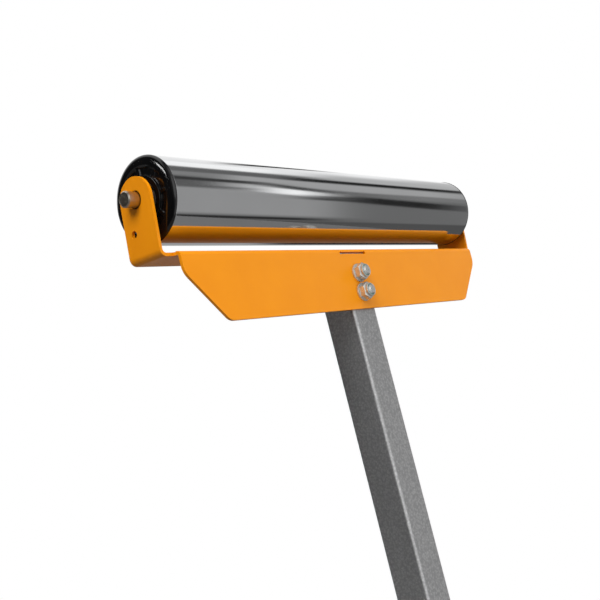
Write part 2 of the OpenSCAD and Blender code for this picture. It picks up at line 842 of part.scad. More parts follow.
module hinge_bracket() {
    web_y = outer_w / 2 + cheek_t + cheek_bend_r;
    color([0.95, 0.58, 0.12]) on_post() difference() {
        channel(hinge_s - bracket_reach, hinge_s + bracket_reach) union() {
            polygon([
                [0, hinge_s - bracket_reach - over], [web_y, hinge_s - bracket_reach - over],
                [web_y, hinge_s - bracket_reach],
                [hinge_y, hinge_s - cheek_edge], [hinge_y, hinge_s + cheek_edge],
                [web_y, hinge_s + bracket_reach],
                [web_y, hinge_s + bracket_reach + over], [0, hinge_s + bracket_reach + over]
            ]);
            translate([hinge_y, hinge_s]) circle(r = cheek_edge);
        }
        translate([0, hinge_y, hinge_s]) x_bar(pin_d / 2 + fixed_fit, 2 * (cheek_out + over));
    }
}

// Slotted guide for the slide bolt, parallel to the post
module slide_guide() {
    top = hinge_s - slide_open;
    low = hinge_s - slide_folded;
    color([0.95, 0.58, 0.12]) on_post() difference() {
        channel(low - cheek_edge, top + cheek_edge) difference() {
            union() {
                translate([0, low - cheek_edge - over])
                    square([hinge_y, top - low + 2 * (cheek_edge + over)]);
                translate([0, low]) square([hinge_y + cheek_edge, top - low]);
                for (z = [low, top]) translate([hinge_y, z]) circle(r = cheek_edge);
            }
            translate([hinge_y - slot_r, low]) square([2 * slot_r, top - low]);
            for (z = [low, top]) translate([hinge_y, z]) circle(r = slot_r);
        }
    }
}

module hinge_bolt() {
    color("silver") on_post() translate([0, hinge_y, hinge_s])
        cross_bolt(pin_d, cheek_out, lock_nut_h(pin_d) + bolt_show);
}

module hinge_nut() {
    color("silver") on_post() translate([0, hinge_y, hinge_s]) cross_nut(pin_d, cheek_out);
}

// Saddle that carries the foot bolt and stops the crossbar's tilt
module foot_saddle() {
    half = outer_w / 2 + saddle_gap;
    color([0.95, 0.58, 0.12]) on_post() translate([-saddle_w / 2, 0, bar_s]) difference() {
        translate([0, -outer_w / 2, 0]) along_x(saddle_w) rotate(90)
            polygon(folded_channel(half + cheek_t, saddle_depth + cheek_t));
        translate([saddle_w / 2, -outer_w / 2, 0]) y_bar(foot_bolt_d / 2 + fixed_fit, 2 * (cheek_t + over));
    }
}

module foot_bolt() {
    grip = outer_w / 2 + bar_y + outer_w / 2 + slide_fit + lock_nut_h(foot_bolt_d) + bolt_show;
    color("silver") on_front_bar() translate([0, -outer_w / 2 - slide_fit, 0]) rotate([90, 0, 0])
        hex_bolt(foot_bolt_d, grip);
}

module foot_nut() {
    color("silver") on_post() translate([0, outer_w / 2, bar_s]) rotate([-90, 0, 0]) {
        lock_nut(foot_bolt_d);
        nut_insert(foot_bolt_d);
    }
}

module foot_washer() {
    color("silver") on_post() translate([0, -outer_w / 2 - cheek_t, bar_s]) rotate([90, 0, 0])
        ring(washer_od_share * foot_bolt_d / 2, foot_bolt_d / 2 + fixed_fit, foot_washer_t - slide_fit);
}

module post_end_plug() {
    color([0.08, 0.08, 0.08]) on_post() translate([0, 0, outer_foot]) {
        translate([0, 0, -plug_t]) linear_extrude(plug_t) polygon(round_square(outer_w, tube_r));
        linear_extrude(plug_in) polygon(round_square(outer_in - 2 * fixed_fit, tube_r - tube_wall));
    }
}

// Height clamp

// Brass pad on the screw's tip that presses the inner post
module clamp_pad() {
    color("goldenrod") on_clamp() translate([0, 0, inner_w / 2 + fixed_fit]) difference() {
        cylinder(d = pad_d, h = pad_len);
        translate([0, 0, pad_len / 2]) cylinder(r = tip_r + turn_fit, h = pad_len);
    }
}

tip_share = 0.3;
tip_r = tip_share * screw_d;

module clamp_screw() {
    tip_z = inner_w / 2 + fixed_fit + pad_len / 2 + turn_fit;
    shank_z = inner_w / 2 + pad_len + 2 * fixed_fit;
    end_z = knob_z() + knob_hub_h + knob_h / 2;
    color("silver") on_clamp() {
        translate([0, 0, tip_z]) cylinder(r = tip_r, h = shank_z - tip_z + over);
        translate([0, 0, shank_z]) cylinder(d = screw_d, h = end_z - shank_z);
    }
}

function knob_z() = outer_w / 2 + clamp_nut_h + screw_free;

// Lobed knob: hub, lobes and a shallow domed face, bored for its screw
module clamp_knob() {
    lobe_share = 0.22;
    lobe_r = lobe_share * knob_d;
    lobe_at = knob_d / 2 - lobe_r;
    core_share = 0.36;
    face_share = 0.15;
    face_r = core_share * knob_d;
    color([0.07, 0.07, 0.07]) on_clamp() translate([0, 0, knob_z()]) difference() {
        union() {
            cylinder(d = knob_hub_d, h = knob_hub_h + over);
            translate([0, 0, knob_hub_h]) {
                linear_extrude(knob_h) {
                    circle(r = core_share * knob_d);
                    for (i = [0 : knob_lobes - 1]) rotate(360 * i / knob_lobes) translate([lobe_at, 0])
                        circle(r = lobe_r);
                }
                cylinder(r1 = face_r, r2 = face_r / 2, h = (1 + face_share) * knob_h);
            }
        }
        translate([0, 0, -over])
            cylinder(r = screw_d / 2 + fixed_fit, h = knob_hub_h + knob_h / 2 + fixed_fit + over);
    }
}

// Rear leg

module rear_leg() {
    color([0.5, 0.51, 0.52]) on_leg() difference() {
        translate([0, 0, -leg_reach + outer_w / 2]) square_tube(leg_w, leg_reach - outer_w / 2 + leg_over);
        x_bar(bush_d / 2 + fixed_fit, leg_w + 2 * over);
        translate([0, 0, -stay_len]) x_bar(pin_d / 2 + fixed_fit, leg_w + 2 * over);
    }
}

module hinge_bush() {
    half = cheek_in - slide_fit;
    color("silver") on_leg() translate([-half, 0, 0]) rotate([0, 90, 0])
        ring(bush_d / 2, pin_d / 2 + turn_fit, 2 * half);
}

module leg_top_plug() {
    color([0.08, 0.08, 0.08]) on_leg() translate([0, 0, leg_over]) {
        linear_extrude(plug_t) polygon(round_square(leg_w, tube_r));
        translate([0, 0, -plug_in]) linear_extrude(plug_in + over)
            polygon(round_square(leg_w - 2 * tube_wall - 2 * fixed_fit, tube_r - tube_wall));
    }
}

// Crossbar: square tube along X, centred
module crossbar() {
    translate([-bar_len / 2, 0, 0]) rotate([90, 0, 90]) square_tube(outer_w, bar_len);
}

module rear_crossbar() {
    color([0.5, 0.51, 0.52]) on_rear_bar() crossbar();
}

// Foot cap over a crossbar's end. The floor leans by tilt against the tube
module foot_cap(side, tilt) {
    end = bar_len / 2 + cap_wall;
    color([0.07, 0.07, 0.07]) at_side(side) translate([end - foot_len, 0, 0]) difference() {
        union() {
            along_x(foot_len) polygon(round_square(cap_w, foot_r));
            rotate([-tilt, 0, 0]) along_x(foot_len) polygon([
                [-cap_w / 2, 0], [-sole_w / 2, -bar_h + sole_bevel_h], [-sole_w / 2 + sole_bevel_w, -bar_h],
                [sole_w / 2 - sole_bevel_w, -bar_h], [sole_w / 2, -bar_h + sole_bevel_h], [cap_w / 2, 0]
            ]);
        }
        translate([-over, 0, 0]) along_x(foot_len - cap_wall + over)
            polygon(round_square(outer_w + 2 * fixed_fit, tube_r));
        rotate([-tilt, 0, 0]) for (i = [-1 : 1])
            translate([foot_len / 2 + i * tread_pitch - tread_w / 2, -sole_w, -bar_h - over])
                cube([tread_w, 2 * sole_w, tread_h + over]);
    }
}

module rear_cap(side) {
    on_rear_bar() foot_cap(side, rear_lean);
}

module stay_bolt() {
    color("silver") on_leg() translate([0, 0, -stay_len])
        cross_bolt(pin_d, stay_out + slide_fit, lock_nut_h(pin_d) + bolt_show);
}

module stay_nut() {
    color("silver") on_leg() translate([0, 0, -stay_len]) cross_nut(pin_d, stay_out + slide_fit);
}

module stay_spacers() {
    color("silver") on_leg() for (side = [-1, 1]) at_side(side)
        translate([leg_w / 2, 0, -stay_len]) rotate([0, 90, 0])
            ring(bush_d / 2, pin_d / 2 + fixed_fit, stay_in - leg_w / 2 - slide_fit);
}

// Stay bar with round ends, drilled for the leg bolt and the slide bolt
module stay_bar(side) {
    color([0.95, 0.58, 0.12]) on_stay() at_side(side) translate([stay_in, 0, 0])
        along_x(stay_t) difference() {
            union() {
                translate([-stay_w / 2, -stay_len]) square([stay_w, stay_len]);
                for (z = [0, -stay_len]) translate([0, z]) circle(d = stay_w);
            }
            circle(r = pin_d / 2 + turn_fit);
            translate([0, -stay_len]) circle(r = pin_d / 2 + fixed_fit);
        }
}

module slide_bolt() {
    color("silver") on_stay() translate([0, 0, -stay_len])
        cross_bolt(pin_d, stay_out, lock_nut_h(pin_d) + bolt_show);
}

module slide_nut() {
    color("silver") on_stay() translate([0, 0, -stay_len]) cross_nut(pin_d, stay_out);
}

// Front foot

module front_crossbar() {
    color([0.5, 0.51, 0.52]) on_front_bar() difference() {
        crossbar();
        y_bar(bush_od() / 2 + fixed_fit, outer_w + 2 * over);
    }
}

bush_wall = 2;
function bush_od() = foot_bolt_d + 2 * turn_fit + 2 * bush_wall;

module crossbar_bush() {
    color("silver") on_front_bar() translate([0, outer_w / 2, 0]) rotate([90, 0, 0])
        ring(bush_od() / 2, foot_bolt_d / 2 + turn_fit, outer_w);
}

module front_cap(side) {
    on_front_bar() foot_cap(side, -post_lean);
}

head_bracket();
inner_post();
inner_post_glide();
head_bolts();
head_washers();
head_nuts();
nut_inserts();
axle();
axle_clips();
axle_spacers();
bearing_inner(-1);  // bearing_inner_left
bearing_inner(1);  // bearing_inner_right
bearing_balls(-1);  // bearing_balls_left
bearing_balls(1);  // bearing_balls_right
bearing_cage(-1);  // bearing_cage_left
bearing_cage(1);  // bearing_cage_right
bearing_outer(-1);  // bearing_outer_left
bearing_outer(1);  // bearing_outer_right
roller_tube();
end_cap(-1);  // end_cap_left
end_cap(1);  // end_cap_right
outer_post();
post_collar();
clamp_nut();
hinge_bracket();
slide_guide();
hinge_bolt();
hinge_nut();
foot_saddle();
foot_bolt();
foot_nut();
foot_washer();
post_end_plug();
clamp_pad();
clamp_screw();
clamp_knob();
rear_leg();
hinge_bush();
leg_top_plug();
rear_crossbar();
rear_cap(-1);  // rear_cap_left
rear_cap(1);  // rear_cap_right
stay_bolt();
stay_nut();
stay_spacers();
stay_bar(-1);  // stay_bar_left
stay_bar(1);  // stay_bar_right
slide_bolt();
slide_nut();
front_crossbar();
crossbar_bush();
front_cap(-1);  // front_cap_left
front_cap(1);  // front_cap_right
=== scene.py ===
"""Folding roller stand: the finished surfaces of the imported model, with its stage.

Metres, +Z up. X runs along the roller and the front crossbar lies towards -Y. Every place comes
from the joints of the frame and from the boxes of its solids.
"""
import json
from math import cos, pi, radians, sin, sqrt

import bmesh
import bpy
import numpy as np
from bpy.props import FloatProperty, FloatVectorProperty, IntProperty, PointerProperty
from mathutils import Matrix

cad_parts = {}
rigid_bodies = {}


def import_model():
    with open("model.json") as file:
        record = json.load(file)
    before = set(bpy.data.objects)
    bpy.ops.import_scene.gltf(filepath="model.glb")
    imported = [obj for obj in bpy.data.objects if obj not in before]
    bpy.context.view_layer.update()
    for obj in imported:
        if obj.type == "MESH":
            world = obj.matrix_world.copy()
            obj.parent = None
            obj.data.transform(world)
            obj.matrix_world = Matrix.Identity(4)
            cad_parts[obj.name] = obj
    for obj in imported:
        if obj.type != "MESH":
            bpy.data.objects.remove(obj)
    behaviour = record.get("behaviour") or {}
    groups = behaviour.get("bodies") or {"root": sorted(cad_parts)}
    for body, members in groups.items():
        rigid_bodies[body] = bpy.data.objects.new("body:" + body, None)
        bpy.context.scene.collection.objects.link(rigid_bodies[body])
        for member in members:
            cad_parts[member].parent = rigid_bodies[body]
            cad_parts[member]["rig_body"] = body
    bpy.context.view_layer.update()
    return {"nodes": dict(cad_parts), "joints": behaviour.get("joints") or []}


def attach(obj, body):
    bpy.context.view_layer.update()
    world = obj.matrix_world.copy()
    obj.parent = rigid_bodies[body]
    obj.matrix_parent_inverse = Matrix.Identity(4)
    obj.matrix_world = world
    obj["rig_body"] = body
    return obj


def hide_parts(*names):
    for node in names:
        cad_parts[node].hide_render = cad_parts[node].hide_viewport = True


bl_info = {
    "name": "Folding Roller Stand",
    "version": (1, 0, 0),
    "blender": (4, 5, 0),
    "location": "3D View > Sidebar > Roller Stand",
    "description": "Dresses the parts of a folding roller stand and sets its stage",
    "category": "Add Mesh",
}

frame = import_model()
NODES = frame["nodes"]
JOINTS = {joint["name"]: joint for joint in frame["joints"]}
MM = 0.001
TURN = 2 * pi


# Colours and lengths

def linear(code):
    """Linear colour of an sRGB hex value: the channel over 12.92 when dark, else a 2.4 power."""
    channels = [int(code[i:i + 2], 16) / 255 for i in (0, 2, 4)]
    return tuple(c / 12.92 if c <= 0.04045 else ((c + 0.055) / 1.055) ** 2.4 for c in channels)


def dimmed(shade, share):
    """A linear colour times a share."""
    return [channel * share for channel in shade]


def colour(name, description, code):
    return FloatVectorProperty(name=name, description=description, default=linear(code),
                               subtype="COLOR", size=3, min=0, max=1)


def length(name, description, millimetres):
    return FloatProperty(name=name, description=description, default=millimetres * MM,
                         min=0, unit="LENGTH", subtype="DISTANCE", precision=5)


def ratio(name, description, value):
    return FloatProperty(name=name, description=description, default=value)


# Places: each is a matrix with the axes and origin of one assembly

def place(origin, z_axis, x_axis=(1, 0, 0)):
    """Matrix whose Z is z_axis and whose X is x_axis turned square to it."""
    z = np.array(z_axis, float)
    z /= np.linalg.norm(z)
    x = np.array(x_axis, float) - z * (z @ np.array(x_axis, float))
    x /= np.linalg.norm(x)
    made = np.eye(4)
    made[:3, 0], made[:3, 1], made[:3, 2], made[:3, 3] = x, np.cross(z, x), z, origin
    return made


def moved(where, x=0, y=0, z=0):
    """The same axes with the origin moved along them."""
    made = where.copy()
    made[:3, 3] += where[:3, :3] @ np.array([x, y, z], float)
    return made


def into(where, points):
    """Points of a place's own axes, in the frame."""
    return points @ where[:3, :3].T + where[:3, 3]


def out_of(where, points):
    """Points of the frame, in a place's own axes."""
    return (points - where[:3, 3]) @ where[:3, :3]


UP_POST = JOINTS["post_slide"]["axis"]
ACROSS = (1, 0, 0)
POST = place(JOINTS["knob_turn"]["pos_m"], UP_POST)
HEAD = place(JOINTS["roller_spin"]["pos_m"], UP_POST)
AXLE = place(JOINTS["roller_spin"]["pos_m"], ACROSS, UP_POST)
CLAMP = place(JOINTS["knob_turn"]["pos_m"], JOINTS["knob_turn"]["axis"])
HINGE = np.array(JOINTS["leg_fold"]["pos_m"])
LEG = place(HINGE, HINGE - np.array(JOINTS["stay_swing"]["pos_m"]))


def corners(node):
    """Every corner of a CAD node's mesh, in the frame."""
    mesh = NODES[node].data
    flat = np.zeros(len(mesh.vertices) * 3, np.float32)
    mesh.vertices.foreach_get("co", flat)
    return flat.reshape(-1, 3).astype(float)


def span(points, where):
    """Lowest and highest corner of points, along the axes of a place."""
    local = out_of(where, points)
    return local.min(axis=0), local.max(axis=0)


def solids(node):
    """The corners of each solid of a node. Corners that share an edge take the lower of their two
    labels, again and again, until each solid has one label left."""
    mesh = NODES[node].data
    points, same = np.unique(np.round(corners(node), 6), axis=0, return_inverse=True)
    ends = np.zeros(len(mesh.edges) * 2, np.int32)
    mesh.edges.foreach_get("vertices", ends)
    ends = same.reshape(-1)[ends.reshape(-1, 2)]
    label, before = np.arange(len(points)), None
    while before is None or (label != before).any():
        before = label.copy()
        low = label[ends].min(axis=1)
        np.minimum.at(label, ends[:, 0], low)
        np.minimum.at(label, ends[:, 1], low)
        label = label[label]
    return [points[label == one] for one in np.unique(label)]


# Surfaces: each function gives the points and the four-sided faces of one closed surface

THREAD_DEPTH_SHARE = 0.61
CONE_SLOPE = 0.577
RIPPLE_SHARE = 0.16
# A direction that no weld bead runs along
SLANTED = (0.3, 0.5, 0.8)


def quads(points, close_rows=False):
    """Faces between neighbours on a grid of points. Each row joins back to its start, and so do
    the columns of a ring."""
    rows, columns = points.shape[:2]
    index = np.arange(rows * columns).reshape(rows, columns)
    if close_rows:
        index = np.vstack([index, index[:1]])
    index = np.hstack([index, index[:, :1]])
    faces = np.stack([index[:-1, :-1], index[1:, :-1], index[1:, 1:], index[:-1, 1:]], axis=-1)
    return points.reshape(-1, 3), faces.reshape(-1, 4)


def round_angles(steps):
    """Even angles of one turn."""
    return np.linspace(0, TURN, steps, endpoint=False)


def polar(radius, angle, height):
    """Points x = r cos a, y = r sin a, z = h, for arrays that spread over one another."""
    return np.stack([radius * np.cos(angle), radius * np.sin(angle), height + 0 * angle], axis=-1)


def turned(profile, where, steps, ring=False):
    """Revolves (radius, height) points round the place's Z. A ring's profile closes on itself,
    any other starts and ends on the axis."""
    radius, height = np.array(profile, float).T[:, :, None]
    return quads(into(where, polar(radius, round_angles(steps), height)), close_rows=ring)


def arc(centre, radius, start, end, steps=8):
    """Points of an arc: centre plus radius times the cosine and sine of an angle in degrees."""
    angle = np.radians(np.linspace(start, end, steps + 1))
    return [(centre[0] + radius * c, centre[1] + radius * s) for c, s in zip(np.cos(angle), np.sin(angle))]


def thread(radius, pitch, height, where, chamfer, steps=40, rows_per_turn=8):
    """Threaded rod from the place's origin up its Z. The radius falls from crest to root as a
    triangle wave of (height over pitch less angle over a turn), and tapers at the free end."""
    angle = round_angles(steps)
    rows = np.linspace(0, height, int(height / pitch * rows_per_turn) + 1)[:, None]
    wave = np.abs(2 * ((rows / pitch - angle / TURN) % 1) - 1)
    depth = THREAD_DEPTH_SHARE * pitch
    r = np.minimum(radius - depth * (1 - wave), radius - chamfer + (height - rows))
    side = polar(r, angle, rows)
    foot, tip = side[:1] * [0, 0, 1], side[-1:] * [0, 0, 1]
    return quads(into(where, np.concatenate([foot, side, tip])))


def hexagon(flats, height, where, chamfer, steps=72):
    """Hexagon of a head or nut from the origin up Z. The radius at an angle is half the width
    across flats over the cosine of the angle from the nearest flat's middle. The free end is cut
    by a cone, which leaves the curved chamfer lines on the six flats."""
    angle = round_angles(steps)
    reach = flats / 2 / np.cos((angle + radians(30)) % radians(60) - radians(30))
    face_r = flats / 2 - chamfer
    drop = (reach - face_r) * CONE_SLOPE
    rows = [(0, 0), (reach, 0), (reach, height - drop), (face_r, height), (0, height)]
    return quads(into(where, np.array([polar(r, angle, h) for r, h in rows])))


def bead(path, size, pitch, closed=False, steps=12):
    """Weld bead: a round profile carried along a path. Its radius swells once per ripple as the
    absolute sine of the length over the pitch, and an open bead's ends draw in to points."""
    path = np.array(path, float)
    ahead = np.roll(path, -1, axis=0) - path if closed else np.gradient(path, axis=0)
    ahead /= np.linalg.norm(ahead, axis=1)[:, None]
    run = np.concatenate([[0], np.cumsum(np.linalg.norm(np.diff(path, axis=0), axis=1))])
    radius = size * (1 + RIPPLE_SHARE * np.abs(np.sin(pi * run / pitch)))
    if not closed:
        ends = np.minimum(run, run[-1] - run) / (2 * size)
        radius = radius * np.sqrt(np.clip(ends, 0, 1))
    side = np.cross(ahead, SLANTED)
    side /= np.linalg.norm(side, axis=1)[:, None]
    other = np.cross(ahead, side)
    angle = round_angles(steps)[None, :, None]
    outward = np.cos(angle) * side[:, None] + np.sin(angle) * other[:, None]
    return quads(path[:, None] + radius[:, None, None] * outward, close_rows=closed)


def straight(start, end, where, step):
    """Evenly spaced points of a line between two points of a place."""
    start, end = np.array(start, float), np.array(end, float)
    count = max(2, int(np.linalg.norm(end - start) / step))
    return into(where, start + (end - start) * np.linspace(0, 1, count)[:, None])


# Pieces

FLAT_ANGLE = 0.4
SEAM_GAP = MM / 10000
CORNER_GAP = MM / 1000
# Rounds that tumbling, plating and paint leave on small parts
CLIP_EDGE = 0.12 * MM
SPACER_EDGE = 0.15 * MM
WASHER_EDGE = 0.2 * MM
PAD_EDGE = 0.3 * MM
WELD_NUT_EDGE = 0.5 * MM


def settle(mesh, sharp_angle):
    """Closes seams and poles, turns faces outwards and shades smooth between sharp edges."""
    work = bmesh.new()
    work.from_mesh(mesh)
    bmesh.ops.remove_doubles(work, verts=work.verts, dist=SEAM_GAP)
    bmesh.ops.recalc_face_normals(work, faces=work.faces)
    work.to_mesh(mesh)
    work.free()
    mesh.shade_smooth()
    mesh.set_sharp_from_angle(angle=radians(sharp_angle))


def piece_of(mesh, name, body, slot, nodes=()):
    """Shows a mesh as a piece that rides a body, in the finish of its slot."""
    piece = bpy.data.objects.new(name, mesh)
    bpy.context.scene.collection.objects.link(piece)
    mesh.materials.clear()
    mesh.materials.append(finish(slot))
    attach(piece, body)
    if nodes:
        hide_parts(*nodes)
    return piece


def mesh_of(name, surfaces, sharp_angle=35):
    """One settled mesh of several surfaces."""
    offsets = np.cumsum([0] + [len(points) for points, _ in surfaces[:-1]])
    points = np.concatenate([points for points, _ in surfaces])
    faces = np.concatenate([faces + offset for (_, faces), offset in zip(surfaces, offsets)])
    mesh = bpy.data.meshes.new(name)
    mesh.from_pydata(points.tolist(), [], faces.tolist())
    settle(mesh, sharp_angle)
    return mesh


def build(name, surfaces, body, slot, nodes=(), sharp_angle=35):
    """Joins surfaces into one piece."""
    return piece_of(mesh_of(name, surfaces, sharp_angle), name, body, slot, nodes)


def rounded_copy(node, slot, edge, segments=3, sharp_angle=30):
    """A CAD node's copy with its corners merged, its flat faces whole and its edges rounded by
    the thickness of the finish or the radius of the mould."""
    mesh = NODES[node].data.copy()
    work = bmesh.new()
    work.from_mesh(mesh)
    bmesh.ops.remove_doubles(work, verts=work.verts, dist=CORNER_GAP)
    bmesh.ops.dissolve_limit(work, verts=work.verts, edges=work.edges, angle_limit=radians(FLAT_ANGLE))
    work.to_mesh(mesh)
    work.free()
    mesh.shade_smooth()
    mesh.set_sharp_from_angle(angle=radians(sharp_angle))
    piece = piece_of(mesh, "finished_" + node, NODES[node]["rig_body"], slot, [node])
    bevel = piece.modifiers.new("Rounded edges", "BEVEL")
    bevel.width = edge
    bevel.segments = segments
    bevel.limit_method = "ANGLE"
    bevel.angle_limit = radians(sharp_angle)
    bevel.harden_normals = True


def finish_node(node, slot):
    """Gives a CAD node that keeps its own mesh the finish of its slot."""
    mesh = NODES[node].data
    mesh.materials.clear()
    mesh.materials.append(finish(slot))


# Finishes

# Between these lie most values of a noise
NOISE_LOW, NOISE_HIGH = 0.3, 0.7


def add_node(tree, kind, inputs=None, **settings):
    """Adds a node, sets its settings, and sets or links each named or numbered input."""
    made = tree.nodes.new(kind)
    for name, value in settings.items():
        setattr(made, name, value)
    for name, value in (inputs or {}).items():
        if isinstance(value, bpy.types.NodeSocket):
            tree.links.new(value, made.inputs[name])
        else:
            made.inputs[name].default_value = value
    return made


def noise_on(tree, coordinates, grain, detail=2.0, stretch=(1, 1, 1)):
    """Noise whose features are about as large as the grain, in metres, drawn out along an axis
    where that axis has a small stretch value."""
    spread = add_node(tree, "ShaderNodeMapping", {"Vector": coordinates, "Scale": stretch})
    return add_node(tree, "ShaderNodeTexNoise", {"Vector": spread.outputs[0], "Scale": 1 / grain,
                                                 "Detail": detail}).outputs[0]


def two_tones(tree, factor, low, high, start=NOISE_LOW, end=NOISE_HIGH):
    """Mixes two colours as a value runs from start to end."""
    share = add_node(tree, "ShaderNodeMapRange", {"Value": factor, "From Min": start, "From Max": end})
    mix = add_node(tree, "ShaderNodeMix", {"Factor": share.outputs[0], 6: (*low, 1), 7: (*high, 1)},
                   data_type="RGBA")
    return mix.outputs[2]


class Coat:
    """A new material with one shader, and the ways in which it varies over Object coordinates"""

    def __init__(self, name, metallic, roughness, **sockets):
        self.material = bpy.data.materials.new(name)
        self.material.use_nodes = True
        self.tree = self.material.node_tree
        self.tree.nodes.clear()
        values = {"Metallic": metallic, "Roughness": roughness}
        values.update({socket.replace("_", " "): value for socket, value in sockets.items()})
        self.shader = add_node(self.tree, "ShaderNodeBsdfPrincipled", values)
        add_node(self.tree, "ShaderNodeOutputMaterial", {"Surface": self.shader.outputs[0]})
        self.here = add_node(self.tree, "ShaderNodeTexCoord").outputs["Object"]

    def noise(self, grain, detail=3, stretch=(1, 1, 1)):
        return noise_on(self.tree, self.here, grain, detail, stretch)

    def tint(self, factor, low, high, start=NOISE_LOW, end=NOISE_HIGH):
        """Colours it from low to high as a value runs from start to end."""
        tone = two_tones(self.tree, factor, low, high, start, end)
        self.tree.links.new(tone, self.shader.inputs["Base Color"])

    def roughen(self, factor, low, high):
        """Takes its roughness from low to high as a noise runs through its range."""
        share = add_node(self.tree, "ShaderNodeMapRange", {
            "Value": factor, "From Min": NOISE_LOW, "From Max": NOISE_HIGH, "To Min": low, "To Max": high})
        self.tree.links.new(share.outputs[0], self.shader.inputs["Roughness"])

    def emboss(self, height, depth):
        """Gives it the relief of a height value, as deep as depth in metres."""
        relief = add_node(self.tree, "ShaderNodeBump", {"Height": height, "Distance": depth, "Strength": 1.0})
        self.tree.links.new(relief.outputs[0], self.shader.inputs["Normal"])


def chrome_plate(stand):
    """Hard chrome on a ground tube: a mirror with faint rings from the grinding wheel, which
    smear the reflections a little along the roller, and thin smudges."""
    plate = Coat("hard_chrome_on_ground_steel", metallic=1.0, roughness=0.08)
    rings = plate.noise(stand.grinding_pitch, stretch=(1, 0.02, 0.02))
    smudge = plate.noise(28 * MM, detail=4, stretch=(0.5, 1, 1))
    plate.tint(smudge, stand.chrome, dimmed(stand.chrome, 0.955))
    plate.roughen(smudge, low=0.055, high=0.095)
    plate.emboss(rings, depth=0.004 * MM)
    return plate.material


def orange_powder_coat(stand):
    """Baked polyester powder on sheet steel: an even satin orange with a shallow orange-peel
    ripple, a little paler where the coat lies thick."""
    coat = Coat("polyester_powder_coat", metallic=0.0, roughness=0.42, IOR=1.45, Specular_IOR_Level=0.35)
    peel = coat.noise(1.6 * MM, detail=2)
    coat.tint(coat.noise(30 * MM), stand.orange_deep, stand.orange)
    coat.roughen(peel, low=0.36, high=0.46)
    coat.emboss(peel, depth=0.03 * MM)
    return coat.material


def grey_hammer_paint(stand):
    """Hammertone enamel: aluminium flake settles into small shallow cells as it dries, so the
    paint has the dull shine of metal with a faint mottle, and goes dark where it faces away from
    the lights."""
    paint = Coat("hammertone_enamel", metallic=0.87, roughness=0.4)
    cells = add_node(paint.tree, "ShaderNodeTexVoronoi", {
        "Vector": paint.here, "Scale": 1 / stand.hammer_cell, "Smoothness": 0.8}, feature="SMOOTH_F1")
    speck = paint.noise(stand.hammer_cell / 2)
    relief = add_node(paint.tree, "ShaderNodeMath", {0: cells.outputs["Distance"], 1: speck},
                      operation="ADD").outputs[0]
    paint.tint(relief, stand.hammer_light, stand.hammer_dark, start=0.55, end=1.15)
    paint.roughen(speck, low=0.36, high=0.46)
    paint.emboss(relief, depth=0.02 * MM)
    return paint.material


def zinc_plate(stand):
    """Bright zinc on rolled and cold-headed steel: a cool soft shine with cloudy patches, under a
    thin pale film that makes flanks creamy where they face the lamps."""
    plate = Coat("bright_zinc_on_steel", metallic=0.8, roughness=0.3)
    cloud = plate.noise(3 * MM)
    plate.tint(cloud, stand.zinc, dimmed(stand.zinc, 0.8))
    plate.roughen(cloud, low=0.24, high=0.38)
    plate.emboss(cloud, depth=0.01 * MM)
    return plate.material


def bright_steel(stand):
    """Bright drawn bar cut off on a lathe: fine lines round the bar and a dull turned end whose
    rings stand square to its axis."""
    steel = Coat("turned_bright_steel", metallic=1.0, roughness=0.3)
    lines = steel.noise(0.7 * MM, stretch=(1, 0.05, 0.05))
    centred = add_node(steel.tree, "ShaderNodeVectorMath", {0: steel.here, 1: tuple(AXLE[:3, 3])},
                       operation="SUBTRACT").outputs[0]
    rings = add_node(steel.tree, "ShaderNodeTexWave", {
        "Vector": centred, "Scale": 320.0, "Distortion": 1.2, "Detail": 2.0},
        wave_type="RINGS", rings_direction="X")
    relief = add_node(steel.tree, "ShaderNodeMath", {0: lines, 1: rings.outputs["Fac"]},
                      operation="ADD").outputs[0]
    steel.tint(relief, stand.steel, dimmed(stand.steel, 0.72), start=0.4, end=1.4)
    steel.roughen(lines, low=0.24, high=0.4)
    steel.emboss(relief, depth=0.01 * MM)
    return steel.material


def grained(name, metallic, roughness, low, high, grain, depth, stretch=(1, 1, 1)):
    """A bare metal whose tone and relief follow one noise."""
    metal = Coat(name, metallic, roughness)
    texture = metal.noise(grain, stretch=stretch)
    metal.tint(texture, linear(low), linear(high))
    metal.emboss(texture, depth)
    return metal.material


def spring_steel(stand):
    """Phosphated and oiled spring steel: a dark grey, faintly grainy surface."""
    return grained("phosphated_spring_steel", 0.7, 0.45, "26272A", "3A3B3D", grain=0.6 * MM,
                   depth=0.008 * MM)


def bearing_steel(stand):
    """Ground and honed bearing steel: a clear shine with lines round the axis."""
    return grained("ground_bearing_steel", 1.0, 0.14, "C9CACD", "B4B5B8", grain=0.5 * MM,
                   depth=0.004 * MM, stretch=(1, 0.04, 0.04))


def brass(stand):
    """Turned brass, a little dulled: yellow with a faint cloudy tarnish."""
    return grained("turned_brass", 1.0, 0.3, "C8A552", "A98840", grain=1.2 * MM, depth=0.006 * MM)


def moulded(name, roughness, low, high, grain, depth, **sockets):
    """A moulded plastic or rubber with two close tones and a fine spark-eroded grain."""
    skin = Coat(name, 0.0, roughness, **sockets)
    texture = skin.noise(grain)
    skin.tint(skin.noise(20 * MM), linear(low), linear(high))
    skin.roughen(texture, low=roughness * 0.9, high=roughness * 1.15)
    skin.emboss(texture, depth)
    return skin.material


def cage_nylon(stand):
    """Glass-filled nylon: a waxy straw colour with a soft sheen."""
    return moulded("glass_filled_nylon", 0.42, "BDA767", "CDB778", grain=1 * MM, depth=0.006 * MM, IOR=1.53)


def insert_nylon(stand):
    """Dyed nylon locking ring: a waxy blue-green that the bolt has cut into."""
    return moulded("dyed_nylon", 0.36, "5E968B", "83B3A8", grain=0.9 * MM, depth=0.01 * MM, IOR=1.53,
                   Subsurface_Weight=0.1)


